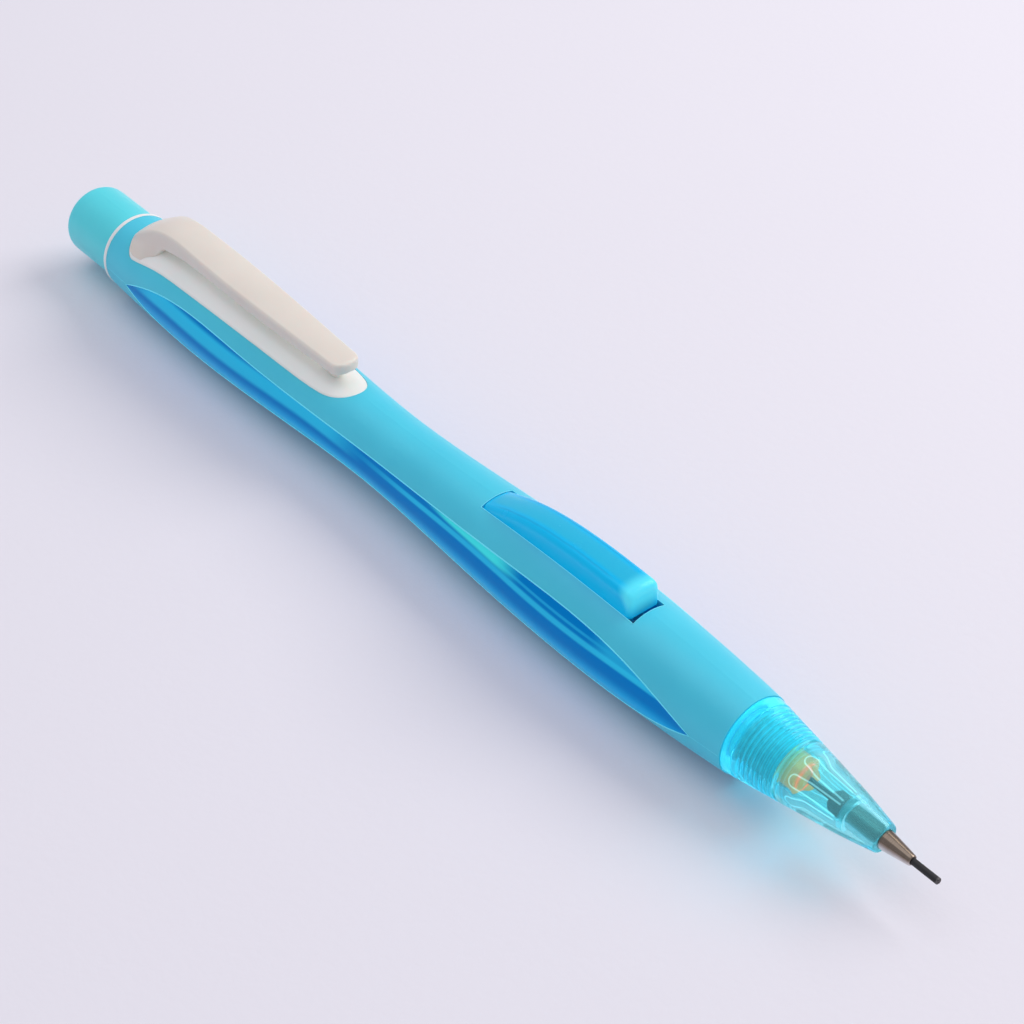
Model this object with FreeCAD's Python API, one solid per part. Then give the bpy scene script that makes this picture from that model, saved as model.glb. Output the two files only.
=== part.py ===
"""Side-advance mechanical pencil, 0.7 mm: one solid per piece, in millimetres.

Stations called x_... are distances from the rear end of the cap along the pencil's
axis, and radii are from that axis. Every solid is moved into the part's own frame as it
is written: +X towards the lead, +Z towards the clip and button, origin under the middle
of the pencil on the surface that it lies on.
"""
import FreeCAD, Part

import math
import os

# --- overall sizes, from the cap to the lead ----------------------------------------
CAP_LENGTH = 9.85
CAP_RADIUS = 4.57
CAP_WALL = 0.85
CAP_END = 1.2
CAP_EDGE = 0.9
RING_GAP = 0.12
RING_WIDTH = 0.53
RING_RADIUS = 5.0
BARREL_LENGTH = 109.75
CONE_LENGTH = 17.1
CONE_GAP = 0.05
NOZZLE_EXPOSED = 3.4
LEAD_EXPOSED = 3.2

# --- barrel: radii of its outline and how far each lies from the end beside it -------
REAR_RADIUS = 4.97
REAR_BULGE = 5.6
REAR_BULGE_FROM_REAR = 19.0
WAIST = 4.53
WAIST_SHARE = 0.53
FRONT_BULGE = 5.6
FRONT_BULGE_FROM_FRONT = 25.5
FRONT_RADIUS = 4.5
SHELL_WALL = 0.9
BORE = 2.95

# --- side windows: half heights above and below the middle of the side ---------------
WINDOW_FROM_REAR = 5.0
WINDOW_FROM_FRONT = 3.8
WINDOW_REAR_HALF = 2.6
WINDOW_WAIST_HALF = 2.05
WINDOW_FRONT_HALF = 3.2

# --- clip ---------------------------------------------------------------------------
PANEL_FROM_REAR = 2.6
PANEL_LENGTH = 44.1
PANEL_REAR_HALF = 4.1
PANEL_MID_HALF = 3.7
PANEL_FRONT_HALF = 2.9
ARM_ROOT_LENGTH = 6.4
ARM_LENGTH = 42.6
ARM_HALF = 2.45
ARM_TIP_HALF = 1.85
ARM_CREST = 9.25
ARM_TIP_CREST = 8.0
ARM_THICKNESS = 1.9
ARM_EDGE = 0.7
ARM_ROOT_GAP = 0.1
CLIP_FOOT_LENGTH = 3.6
CLIP_FOOT_GAP = 0.15

# --- side button: a lever hinged at its rear end --------------------------------------
BUTTON_FROM_FRONT = 38.7
BUTTON_LENGTH = 22.9
BUTTON_HALF = 2.05
BUTTON_HEADROOM = 0.5
BUTTON_SKIN = 1.5
BUTTON_SIDE_WALL = 0.55
BUTTON_PRESS_DEG = 6.0
BUTTON_REAR_GAP = 0.12
BUTTON_FRONT_GAP = 0.75
BUTTON_SIDE_GAP = 0.07
PIVOT_FROM_REAR = 1.8
PIVOT_RADIUS = 0.5
PIVOT_LENGTH = 0.6
PIVOT_DEPTH = 1.65
PIVOT_END_GAP = 0.1
BUTTON_FRONT_WALL = 1.1
NOSE_FROM_FRONT = 5.9
CAM_NOSE = 0.5
CAM_HALF = 1.1
CAM_GAP = 0.05

# --- lead magazine and its slider ------------------------------------------------------
TUBE_RADIUS = 1.9
TUBE_BORE = 1.45
TUBE_REAR = 14.0
SLIDER_CLEARANCE = 0.12
SLIDER_FRONT_GAP = 0.15
LEAD_RADIUS = 0.35
LEAD_CLEARANCE = 0.02
SPARE_LEAD_LENGTH = 60.0
SPARE_LEADS = 3

# --- chuck, clutch ring and spring ------------------------------------------------------
SLEEVE_LENGTH = 18.2
SLEEVE_PROUD = 5.4
SPRING_WIRE = 0.17
SPRING_CLEARANCE = 0.12
SPRING_TURNS = 9
SPRING_STATION = 8.2
JOINT_COLLAR = 3.6
JOINT_PLUG = 2.5
CHUCK_STEM = 1.0
CHUCK_SOCKET = 2.1
CHUCK_HEAD = 1.42
CHUCK_HEAD_LENGTH = 2.5
CHUCK_SLIT = 0.22
CHUCK_SLIT_LENGTH = 7.0
RING_GRIP_RADIUS = 1.95
RING_GRIP_LENGTH = 1.8
RING_GRIP_GAP = 0.1
RING_GRIP_TRAVEL = 0.8
RUNNING_FIT = 0.05

# --- front cone and nozzle ---------------------------------------------------------------
CONE_REAR_RADIUS = 4.42
CONE_FRONT_RADIUS = 1.55
CONE_RIBS = 9
CONE_RIB_PITCH = 0.52
CONE_RIB_DEPTH = 0.12
CONE_RIB_START = 1.9
CONE_FLUTES = 6
CONE_FLUTE_RADIUS = 0.45
CONE_FLUTE_LENGTH = 5.0
NOZZLE_RADIUS = 1.05
NOZZLE_LIP = 0.13
NOZZLE_CLEARANCE = 0.05
NOZZLE_FLANGE = 1.35
NOZZLE_FLANGE_LENGTH = 0.5
NOZZLE_SEAT = 4.4
NOZZLE_FIT = 0.02
RETAINER_RADIUS = 1.2
RETAINER_LENGTH = 2.0

# --- eraser --------------------------------------------------------------------------------
NECK_CLEARANCE = 0.05
NECK_REAR = 2.6
TAIL_SLEEVE_LENGTH = 9.5
ERASER_RADIUS = 2.2
ERASER_LENGTH = 7.5
ERASER_GAP = 0.3
FERRULE_WALL = 0.25
FERRULE_LENGTH = 8.0
FERRULE_FRONT = 12.0

# --- stations worked out from the sizes above -----------------------------------------------
X_RING = CAP_LENGTH + RING_GAP
X_REAR = X_RING + RING_WIDTH
X_FRONT = X_REAR + BARREL_LENGTH
X_CONE = X_FRONT + CONE_GAP
X_CONE_TIP = X_CONE + CONE_LENGTH
X_NOZZLE_TIP = X_CONE_TIP + NOZZLE_EXPOSED
X_LEAD_TIP = X_NOZZLE_TIP + LEAD_EXPOSED
X_REAR_BULGE = X_REAR + REAR_BULGE_FROM_REAR
X_FRONT_BULGE = X_FRONT - FRONT_BULGE_FROM_FRONT
X_WAIST = X_REAR_BULGE + WAIST_SHARE * (X_FRONT_BULGE - X_REAR_BULGE)
X_PANEL = X_REAR + PANEL_FROM_REAR
X_ARM_ROOT = X_PANEL + ARM_ROOT_LENGTH
X_ARM_TIP = X_PANEL + ARM_LENGTH
X_BUTTON = X_FRONT - BUTTON_FROM_FRONT
X_BUTTON_FRONT = X_BUTTON + BUTTON_LENGTH
X_PIVOT = X_BUTTON + PIVOT_FROM_REAR
X_NOSE = X_BUTTON_FRONT - NOSE_FROM_FRONT
CAM_ARM = X_NOSE - X_PIVOT
X_SLEEVE_FRONT = X_CONE + SLEEVE_PROUD
X_SLEEVE_REAR = X_SLEEVE_FRONT - SLEEVE_LENGTH
X_SPRING_FRONT = X_SLEEVE_FRONT - SPRING_STATION
X_GRIP = X_SLEEVE_FRONT + RING_GRIP_GAP
X_SHOULDER = X_GRIP + RING_GRIP_LENGTH + RING_GRIP_TRAVEL + RUNNING_FIT
X_HEAD_TIP = X_SLEEVE_FRONT + CHUCK_HEAD_LENGTH
X_NOZZLE_REAR = X_CONE_TIP - NOZZLE_SEAT
BIG = 40.0


def vec(x, y=0.0, z=0.0):
    """A point or direction."""
    return FreeCAD.Vector(x, y, z)


def line(start, end):
    """A straight edge between two points."""
    return Part.LineSegment(start, end).toShape()


def curve(points):
    """A smooth edge through the points."""
    spline = Part.BSplineCurve()
    spline.interpolate(points)
    return spline.toShape()


def closed_face(edges):
    """A flat face inside a loop of edges given in order."""
    return Part.Face(Part.Wire(edges))


def spin(edges):
    """The solid of revolution of a closed loop about the pencil's axis."""
    return closed_face(edges).revolve(vec(0), vec(1), 360)


def spin_points(points):
    """A revolved solid from (station, radius) corners."""
    corners = [vec(x, 0, r) for x, r in points]
    return spin([line(a, b) for a, b in zip(corners, corners[1:] + corners[:1])])


def rod(radius, start, end):
    """A round bar on the axis."""
    return Part.makeCylinder(radius, end - start, vec(start), vec(1))


def pipe(outer, inner, start, end):
    """A round tube on the axis."""
    return rod(outer, start, end).cut(rod(inner, start, end))


def block(x_low, x_high, half_width, z_low, z_high):
    """A box centred across the pencil."""
    corner = vec(x_low, -half_width, z_low)
    return Part.makeBox(x_high - x_low, 2 * half_width, z_high - z_low, corner)


def plate(edges, half_width):
    """A side-view loop thickened equally to both sides."""
    face = closed_face(edges)
    face.translate(vec(0, -half_width, 0))
    return face.extrude(vec(0, 2 * half_width, 0))


def round_edges(shape, radius, wanted):
    """The shape with the edges that the test picks rounded."""
    edges = [edge for edge in shape.Edges if wanted(edge)]
    return shape.makeFillet(radius, edges)


# --- barrel ------------------------------------------------------------------------------------
def outline_points(inset):
    """Points of the barrel's outline, moved in towards the axis."""
    rear_mid = (REAR_RADIUS + REAR_BULGE) / 2
    stations = [
        (X_REAR, REAR_RADIUS),
        (X_REAR + 0.36 * REAR_BULGE_FROM_REAR, rear_mid + 0.04),
        (X_REAR_BULGE, REAR_BULGE),
        ((X_REAR_BULGE + X_WAIST) / 2, (REAR_BULGE + WAIST) / 2 + 0.06),
        (X_WAIST, WAIST),
        ((X_WAIST + X_FRONT_BULGE) / 2, (WAIST + FRONT_BULGE) / 2 + 0.05),
        (X_FRONT_BULGE, FRONT_BULGE),
        (X_FRONT_BULGE + 0.5 * FRONT_BULGE_FROM_FRONT, FRONT_BULGE - 0.24),
        (X_FRONT, FRONT_RADIUS),
    ]
    return [vec(x, 0, r - inset) for x, r in stations]


def barrel_radius(station):
    """Outside radius of the barrel at a station."""
    edge = curve(outline_points(0.0))
    ray = line(vec(station), vec(station, 0, 2 * FRONT_BULGE))
    return edge.distToShape(ray)[1][0][0].z


def barrel_solid(inset=0.0):
    """The barrel as a solid body, inset by a wall."""
    points = outline_points(inset)
    foot, toe = vec(X_REAR), vec(X_FRONT)
    return spin([line(foot, points[0]), curve(points), line(points[-1], toe), line(toe, foot)])


def window_prism():
    """The two windows' outline, carried straight across the pencil."""
    rear = X_REAR + WINDOW_FROM_REAR
    front = X_FRONT - WINDOW_FROM_FRONT
    upper = [
        (rear, 0.0),
        (rear + 4.2, 0.6 * WINDOW_REAR_HALF),
        (X_REAR_BULGE + 10.0, WINDOW_REAR_HALF),
        (X_WAIST, WINDOW_WAIST_HALF),
        (X_FRONT_BULGE - 5.0, WINDOW_FRONT_HALF),
        (front - 8.0, 0.75 * WINDOW_FRONT_HALF),
        (front, 0.0),
    ]
    top = curve([vec(x, 0, z) for x, z in upper])
    bottom = curve([vec(x, 0, -z) for x, z in reversed(upper)])
    return plate([top, bottom], BIG)


def button_slot():
    """The slot that the side button sinks into."""
    front = X_BUTTON_FRONT + BUTTON_FRONT_GAP
    half = BUTTON_HALF + BUTTON_SIDE_GAP
    return block(X_BUTTON - BUTTON_REAR_GAP, front, half, TUBE_RADIUS, BIG)


def pivot_holes():
    """Blind holes for the button's two trunnions."""
    reach = BUTTON_HALF + PIVOT_LENGTH + PIVOT_END_GAP
    start = vec(X_PIVOT, -reach, pivot_height())
    return Part.makeCylinder(PIVOT_RADIUS + RUNNING_FIT, 2 * reach, start, vec(0, 1))


def panel_prism():
    """The clip panel's plan outline, carried up through the barrel's top."""
    front = X_PANEL + PANEL_LENGTH
    side = [
        (X_PANEL, 0.0),
        (X_PANEL + 0.2, 0.4 * PANEL_REAR_HALF),
        (X_PANEL + 0.8, 0.75 * PANEL_REAR_HALF),
        (X_PANEL + 1.8, 0.96 * PANEL_REAR_HALF),
        (X_PANEL + 3.4, PANEL_REAR_HALF),
        (X_PANEL + 6.5, 0.4 * PANEL_REAR_HALF + 0.6 * PANEL_MID_HALF),
        (X_PANEL + 13.0, PANEL_MID_HALF),
        (front - 10.0, 0.4 * PANEL_MID_HALF + 0.6 * PANEL_FRONT_HALF),
        (front - 4.5, PANEL_FRONT_HALF),
        (front - 1.8, 0.79 * PANEL_FRONT_HALF),
        (front - 0.4, 0.42 * PANEL_FRONT_HALF),
        (front, 0.0),
    ]
    near = curve([vec(x, -y) for x, y in side])
    far = curve([vec(x, y) for x, y in reversed(side)])
    return closed_face([near, far]).extrude(vec(0, 0, BIG))


def barrel_shell():
    """The opaque outer skin, open at the windows, clip panel and button."""
    skin = barrel_solid().cut(barrel_solid(SHELL_WALL))
    for opening in (window_prism(), panel_prism(), button_slot(), pivot_holes()):
        skin = skin.cut(opening)
    return skin


def window_liner():
    """The clear inner barrel, whose side lenses fill the skin's windows."""
    lenses = barrel_solid().common(window_prism())
    clear = barrel_solid(SHELL_WALL).fuse(lenses).removeSplitter()
    for opening in (rod(BORE, 0, X_LEAD_TIP), button_slot(), pivot_holes()):
        clear = clear.cut(opening)
    return clear


# --- tail -----------------------------------------------------------------------------------------
def rear_cap():
    """The pull-off cap, a cup with a rounded closed end."""
    inner = CAP_RADIUS - CAP_WALL
    cup = rod(CAP_RADIUS, 0, CAP_LENGTH)
    cup = round_edges(cup, CAP_EDGE, lambda edge: edge.BoundBox.XMax < CAP_EDGE)
    return cup.cut(rod(inner, CAP_END, CAP_LENGTH))


def neck_radius():
    """Outside radius of the neck that the cap slides on."""
    return CAP_RADIUS - CAP_WALL - NECK_CLEARANCE


def ferrule_radius():
    """Outside radius of the eraser's ferrule."""
    return ERASER_RADIUS + FERRULE_WALL


def tail_ring():
    """The white ring, with the cap's neck behind it and a sleeve in the barrel."""
    inner_end = X_REAR + TAIL_SLEEVE_LENGTH
    body = rod(neck_radius(), NECK_REAR, X_RING)
    body = body.fuse([rod(RING_RADIUS, X_RING, X_REAR), rod(BORE, X_REAR, inner_end)])
    body = body.cut(rod(ferrule_radius(), NECK_REAR, FERRULE_FRONT))
    return body.cut(rod(TUBE_RADIUS + RUNNING_FIT, FERRULE_FRONT, inner_end))


def eraser_ferrule():
    """The cup that holds the eraser in the tail."""
    rear = FERRULE_FRONT - FERRULE_LENGTH
    eraser_front = CAP_END + ERASER_GAP + ERASER_LENGTH
    return rod(ferrule_radius(), rear, FERRULE_FRONT).cut(rod(ERASER_RADIUS, rear, eraser_front))


def eraser():
    """The eraser, standing out of its ferrule under the cap."""
    rear = CAP_END + ERASER_GAP
    stick = rod(ERASER_RADIUS, rear, rear + ERASER_LENGTH)
    return round_edges(stick, ERASER_GAP, lambda edge: edge.BoundBox.XMax < rear + ERASER_GAP)


# --- clip ------------------------------------------------------------------------------------------
def arm_top():
    """Points of the clip's crest line, from its root to its tip."""
    return [
        vec(X_PANEL + 0.5, 0, barrel_radius(X_PANEL) - 0.15),
        vec(X_PANEL + 3.0, 0, 0.62 * ARM_CREST + 1.25),
        vec(X_ARM_ROOT, 0, ARM_CREST - 0.45),
        vec(X_ARM_ROOT + 6.5, 0, ARM_CREST),
        vec((X_ARM_ROOT + X_ARM_TIP) / 2 + 2.0, 0, (ARM_CREST + ARM_TIP_CREST) / 2 + 0.1),
        vec(X_ARM_TIP, 0, ARM_TIP_CREST),
    ]


def arm_bottom():
    """Points of the arm's underside, from its tip back to its root."""
    root_height = ARM_CREST - ARM_THICKNESS
    return [
        vec(X_ARM_TIP, 0, ARM_TIP_CREST - 0.75 * ARM_THICKNESS),
        vec((X_ARM_ROOT + X_ARM_TIP) / 2, 0, root_height - 0.42),
        vec(X_ARM_ROOT + 5.0, 0, root_height - 0.12),
        vec(X_ARM_ROOT, 0, root_height - 0.75),
    ]


def arm_plan():
    """The arm's plan, carried straight up: a tapered tongue with a round tip."""
    root = X_PANEL - ARM_EDGE
    corner = X_ARM_TIP - 1.6
    side = [(root, 2.0), (X_PANEL + 2.0, 2.75), (X_ARM_ROOT, ARM_HALF + 0.05),
            (X_ARM_ROOT + 10.0, ARM_HALF), (corner, ARM_TIP_HALF)]
    near = [vec(x, -y) for x, y in side]
    far = [vec(x, y) for x, y in reversed(side)]
    tip = Part.Arc(near[-1], vec(X_ARM_TIP), far[0]).toShape()
    return closed_face([curve(near), tip, curve(far), line(far[-1], near[0])]).extrude(vec(0, 0, BIG))


def clip_whole():
    """The raised clip, root and arm together, down to the panel at the root."""
    top, bottom = arm_top(), arm_bottom()
    sunk = barrel_radius(X_PANEL) - SHELL_WALL
    corners = [bottom[-1], vec(X_ARM_ROOT, 0, sunk), vec(top[0].x, 0, sunk)]
    loop = [curve(top), line(top[-1], bottom[0]), curve(bottom)]
    loop += [line(a, b) for a, b in zip(corners, corners[1:])]
    loop.append(line(corners[-1], top[0]))
    raised = plate(loop, ARM_HALF + 1.0).common(arm_plan())
    crown = spin([curve(top), line(top[-1], vec(X_ARM_TIP)), line(vec(X_ARM_TIP), vec(top[0].x)),
                  line(vec(top[0].x), top[0])])
    return raised.common(crown)


def clip_base():
    """The panel let into the barrel, and the clip's solid root."""
    panel = barrel_solid().cut(barrel_solid(SHELL_WALL)).common(panel_prism())
    root = clip_whole().common(block(0, X_ARM_ROOT - ARM_ROOT_GAP, BIG, 0, BIG))
    return panel.fuse(root.cut(barrel_solid(SHELL_WALL))).removeSplitter()


def clip_foot():
    """The rounded foot under the arm's tip that grips the cloth or paper."""
    centre = X_ARM_TIP - 1.2 - CLIP_FOOT_LENGTH / 2
    low = barrel_radius(centre) + CLIP_FOOT_GAP
    high = ARM_TIP_CREST - 0.5 * ARM_THICKNESS
    half = CLIP_FOOT_LENGTH / 2
    ends = [vec(centre - half, 0, high), vec(centre + half, 0, high)]
    arc = Part.Arc(ends[0], vec(centre, 0, low), ends[1]).toShape()
    return plate([arc, line(ends[1], ends[0])], ARM_TIP_HALF - 0.5)


def clip_arm():
    """The springy arm of the clip, with its foot."""
    arm = clip_whole().common(block(X_ARM_ROOT, BIG + X_ARM_TIP, BIG, 0, BIG))
    return arm.fuse(clip_foot()).removeSplitter()


# --- side button ---------------------------------------------------------------------------------------
def pivot_height():
    """Height of the button's hinge above the axis."""
    return barrel_radius(X_PIVOT) - PIVOT_DEPTH


def nose_height():
    """Height of the cam nose's centre: clear of the magazine when pressed home."""
    return TUBE_RADIUS + CAM_NOSE + CAM_ARM * math.radians(BUTTON_PRESS_DEG) + CAM_GAP


def fin_top():
    """Height of the slider's fin, which the cam nose pushes."""
    return nose_height() - 0.15


def front_drop():
    """How far a full press lowers the button's front end."""
    return (X_BUTTON_FRONT - X_PIVOT) * math.radians(BUTTON_PRESS_DEG)


def button_height():
    """Height of the button's crest: its skin clears the fin when it is pressed home."""
    return fin_top() + front_drop() + BUTTON_HEADROOM + BUTTON_SKIN


def button_crest():
    """Points of the button's top: flush behind, proud in front."""
    flush = barrel_radius(X_BUTTON)
    rise = button_height() - flush
    return [
        vec(X_BUTTON, 0, flush),
        vec(X_BUTTON + 0.2 * BUTTON_LENGTH, 0, flush + 0.53 * rise),
        vec(X_BUTTON + 0.45 * BUTTON_LENGTH, 0, flush + 0.89 * rise),
        vec(X_BUTTON + 0.8 * BUTTON_LENGTH, 0, flush + rise),
        vec(X_BUTTON_FRONT, 0, flush + 0.965 * rise),
    ]


def side_button():
    """The lever: a crowned shell with trunnions, and a cam nose beneath it."""
    crest = button_crest()
    low = spring_radius() + SPRING_WIRE + front_drop() + 0.2
    corners = [vec(X_BUTTON_FRONT, 0, low), vec(X_PIVOT + 3.0, 0, pivot_height() - 0.3),
               vec(X_PIVOT, 0, pivot_height() - PIVOT_RADIUS), vec(X_BUTTON, 0, pivot_height() - 0.2)]
    loop = [curve(crest)]
    loop += [line(a, b) for a, b in zip([crest[-1]] + corners, corners + [crest[0]])]
    body = plate(loop, BUTTON_HALF)
    crown = spin([curve(crest), line(crest[-1], vec(X_BUTTON_FRONT)),
                  line(vec(X_BUTTON_FRONT), vec(X_BUTTON)), line(vec(X_BUTTON), crest[0])])
    body = body.common(crown)
    front = X_BUTTON_FRONT - 0.05
    brow = button_height() - BUTTON_SKIN
    body = round_edges(body, 0.8, lambda edge: edge.BoundBox.XMin > front and edge.BoundBox.ZMin > brow)
    inner_top = [point - vec(0, 0, BUTTON_SKIN) for point in crest]
    hollow_rear = X_PIVOT + 3.0
    hollow_front = X_BUTTON_FRONT - BUTTON_FRONT_WALL
    hollow = [curve(inner_top), line(inner_top[-1], vec(inner_top[-1].x, 0, 0)),
              line(vec(inner_top[-1].x, 0, 0), vec(inner_top[0].x, 0, 0)),
              line(vec(inner_top[0].x, 0, 0), inner_top[0])]
    inside = plate(hollow, BUTTON_HALF - BUTTON_SIDE_WALL)
    body = body.cut(inside.common(block(hollow_rear, hollow_front, BIG, 0, BIG)))
    nose = Part.makeCylinder(CAM_NOSE, 2 * CAM_HALF, vec(X_NOSE, -CAM_HALF, nose_height()), vec(0, 1))
    post_top = button_height() - 0.7 * BUTTON_SKIN
    post = block(X_NOSE - CAM_NOSE, X_NOSE + CAM_NOSE, CAM_HALF, nose_height(), post_top)
    reach = BUTTON_HALF + PIVOT_LENGTH
    pins = Part.makeCylinder(PIVOT_RADIUS, 2 * reach, vec(X_PIVOT, -reach, pivot_height()), vec(0, 1))
    return body.fuse([nose, post, pins]).removeSplitter()


def advance_travel():
    """How far a full press carries the magazine forward."""
    return (CAM_ARM + nose_height() - pivot_height()) * math.radians(BUTTON_PRESS_DEG)


# --- magazine -------------------------------------------------------------------------------------------
def ramp_shift():
    """The 45 degree ramp is the plane where height less station has this value."""
    return nose_height() - X_NOSE - math.sqrt(2) * (CAM_NOSE + CAM_GAP)


def slider_front():
    """Front face of the cam slider, which stays behind the button's front wall."""
    return X_BUTTON_FRONT - BUTTON_FRONT_WALL - advance_travel() - SLIDER_FRONT_GAP


def cam_slider():
    """The collar on the magazine, with the ramp that the button's nose pushes."""
    low = 0.5 * TUBE_RADIUS
    foot = low - ramp_shift()
    top = fin_top()
    peak = top - ramp_shift()
    collar = rod(BORE - SLIDER_CLEARANCE, foot + 2.0, slider_front())
    corners = [vec(foot, 0, low), vec(peak, 0, top), vec(peak + 1.2, 0, top), vec(peak + 2.4, 0, low)]
    fin = plate([line(a, b) for a, b in zip(corners, corners[1:] + corners[:1])], CAM_HALF)
    bore = rod(TUBE_RADIUS, foot - 1, slider_front() + 1)
    return collar.fuse(fin).cut(bore).removeSplitter()


def joint_front():
    """Front face of the collar that joins the chuck to the magazine."""
    return X_SPRING_FRONT - advance_travel() - 0.25


def lead_tube():
    """The magazine that holds the spare leads."""
    return pipe(TUBE_RADIUS, TUBE_BORE, TUBE_REAR, joint_front() - JOINT_COLLAR)


def tube_joint():
    """The plug between the magazine and the chuck, funnelled for the leads."""
    front = joint_front()
    collar_rear = front - JOINT_COLLAR
    plug_rear = collar_rear - JOINT_PLUG
    hole = LEAD_RADIUS + 0.12
    mouth = TUBE_BORE - 0.15
    return spin_points([
        (plug_rear, TUBE_BORE), (collar_rear, TUBE_BORE), (collar_rear, TUBE_RADIUS),
        (front, TUBE_RADIUS), (front, CHUCK_STEM), (front - CHUCK_SOCKET, CHUCK_STEM),
        (front - CHUCK_SOCKET, hole), (plug_rear + 1.2, hole), (plug_rear, mouth)])


def spare_leads():
    """Leads lying side by side in the bottom of the magazine."""
    front = joint_front() - JOINT_COLLAR - JOINT_PLUG - 2.0
    reach = TUBE_BORE - LEAD_RADIUS - 2 * LEAD_CLEARANCE
    step = 2 * math.asin((LEAD_RADIUS + LEAD_CLEARANCE) / reach)
    leads = []
    for place in range(SPARE_LEADS):
        angle = step * (place - (SPARE_LEADS - 1) / 2)
        start = vec(front - SPARE_LEAD_LENGTH, reach * math.sin(angle), -reach * math.cos(angle))
        leads.append(Part.makeCylinder(LEAD_RADIUS, SPARE_LEAD_LENGTH, start, vec(1)))
    return Part.makeCompound(leads)


# --- chuck and its sleeve ---------------------------------------------------------------------------------
def front_sleeve():
    """The fixed sleeve that houses the spring and carries the cone's thread."""
    body = rod(BORE, X_SLEEVE_REAR, X_SLEEVE_FRONT)
    body = body.cut(rod(spring_radius() + SPRING_WIRE + SPRING_CLEARANCE, X_SLEEVE_REAR, X_SPRING_FRONT))
    return body.cut(rod(CHUCK_HEAD - 0.07, X_SPRING_FRONT, X_SLEEVE_FRONT))


def spring_radius():
    """Mean radius of the return spring, round the magazine."""
    return TUBE_RADIUS + SPRING_CLEARANCE + SPRING_WIRE


def return_spring():
    """The helical spring between the slider and the sleeve's shoulder."""
    start = slider_front() + SPRING_WIRE
    end = X_SPRING_FRONT - SPRING_WIRE
    helix = Part.makeHelix((end - start) / SPRING_TURNS, end - start, spring_radius())
    circle = Part.makeCircle(SPRING_WIRE, vec(spring_radius()), vec(0, 1))
    coil = Part.Wire(helix).makePipeShell([Part.Wire(circle)], True, True)
    coil.rotate(vec(0), vec(0, 1), 90)
    coil.translate(vec(start))
    return coil


def chuck():
    """The three-jaw chuck: a slit stem with a tapered head."""
    front = joint_front()
    rear = front - CHUCK_SOCKET
    bore = LEAD_RADIUS + LEAD_CLEARANCE
    taper = X_SLEEVE_FRONT - 0.2
    body = spin_points([(rear, CHUCK_STEM), (taper, CHUCK_STEM), (X_HEAD_TIP - 0.3, CHUCK_HEAD),
                        (X_HEAD_TIP, CHUCK_HEAD - 0.3), (X_HEAD_TIP, bore), (rear, bore)])
    for turn in range(3):
        slit = Part.makeBox(CHUCK_SLIT_LENGTH + 1, CHUCK_SLIT, 2 * CHUCK_HEAD,
                            vec(X_HEAD_TIP - CHUCK_SLIT_LENGTH, -CHUCK_SLIT / 2, 0))
        slit.rotate(vec(0), vec(1), 120 * turn)
        body = body.cut(slit)
    return body


def clutch_ring():
    """The ring that holds the jaws shut, tapered like the chuck's head."""
    front = X_GRIP + RING_GRIP_LENGTH
    slope = (CHUCK_HEAD - CHUCK_STEM) / (X_HEAD_TIP - 0.3 - (X_SLEEVE_FRONT - 0.2))
    rear_bore = CHUCK_STEM + slope * (X_GRIP - X_SLEEVE_FRONT + 0.2) + RUNNING_FIT
    front_bore = rear_bore + slope * RING_GRIP_LENGTH
    return spin_points([(X_GRIP, rear_bore), (X_GRIP, RING_GRIP_RADIUS), (front, RING_GRIP_RADIUS),
                        (front, front_bore)])


def active_lead():
    """The lead in use, from the joint's throat to the point."""
    return rod(LEAD_RADIUS, joint_front() - CHUCK_SOCKET - 0.8, X_LEAD_TIP)


# --- cone and nozzle -----------------------------------------------------------------------------------------
def cone_outline():
    """(station, radius) corners of the cone's outside, ribs included."""
    mid = X_CONE + 0.38 * CONE_LENGTH
    mid_radius = CONE_REAR_RADIUS - 0.335 * (CONE_REAR_RADIUS - CONE_FRONT_RADIUS)
    slope = (CONE_REAR_RADIUS - mid_radius) / (mid - X_CONE)
    corners = [(X_CONE, CONE_REAR_RADIUS)]
    for rib in range(CONE_RIBS):
        station = X_CONE + CONE_RIB_START + rib * CONE_RIB_PITCH
        crest = CONE_REAR_RADIUS - slope * (station - X_CONE)
        corners.append((station, crest))
        corners.append((station + CONE_RIB_PITCH / 2, crest - slope * CONE_RIB_PITCH / 2 - CONE_RIB_DEPTH))
    last = X_CONE + CONE_RIB_START + CONE_RIBS * CONE_RIB_PITCH
    corners.append((last, CONE_REAR_RADIUS - slope * (last - X_CONE)))
    corners.append((X_CONE_TIP - 4.0, CONE_FRONT_RADIUS + 0.85))
    corners.append((X_CONE_TIP, CONE_FRONT_RADIUS))
    return corners


def cone_cavity():
    """(station, radius) corners of the room inside the cone."""
    step = X_SLEEVE_FRONT + 0.3
    retainer_rear = X_NOZZLE_REAR - RETAINER_LENGTH
    return [
        (X_CONE - 1, 0), (X_CONE - 1, BORE + RUNNING_FIT), (step, BORE + RUNNING_FIT),
        (step, RING_GRIP_RADIUS + 0.3), (X_SHOULDER, RING_GRIP_RADIUS + 0.3),
        (X_SHOULDER, CHUCK_HEAD + 0.3), (retainer_rear, CHUCK_HEAD + 0.15),
        (X_NOZZLE_REAR, NOZZLE_FLANGE + NOZZLE_FIT),
        (X_NOZZLE_REAR + NOZZLE_FLANGE_LENGTH + NOZZLE_FIT, NOZZLE_FLANGE + NOZZLE_FIT),
        (X_NOZZLE_REAR + NOZZLE_FLANGE_LENGTH + NOZZLE_FIT, NOZZLE_RADIUS + NOZZLE_FIT),
        (X_CONE_TIP + 1, NOZZLE_RADIUS + NOZZLE_FIT), (X_CONE_TIP + 1, 0)]


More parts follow.
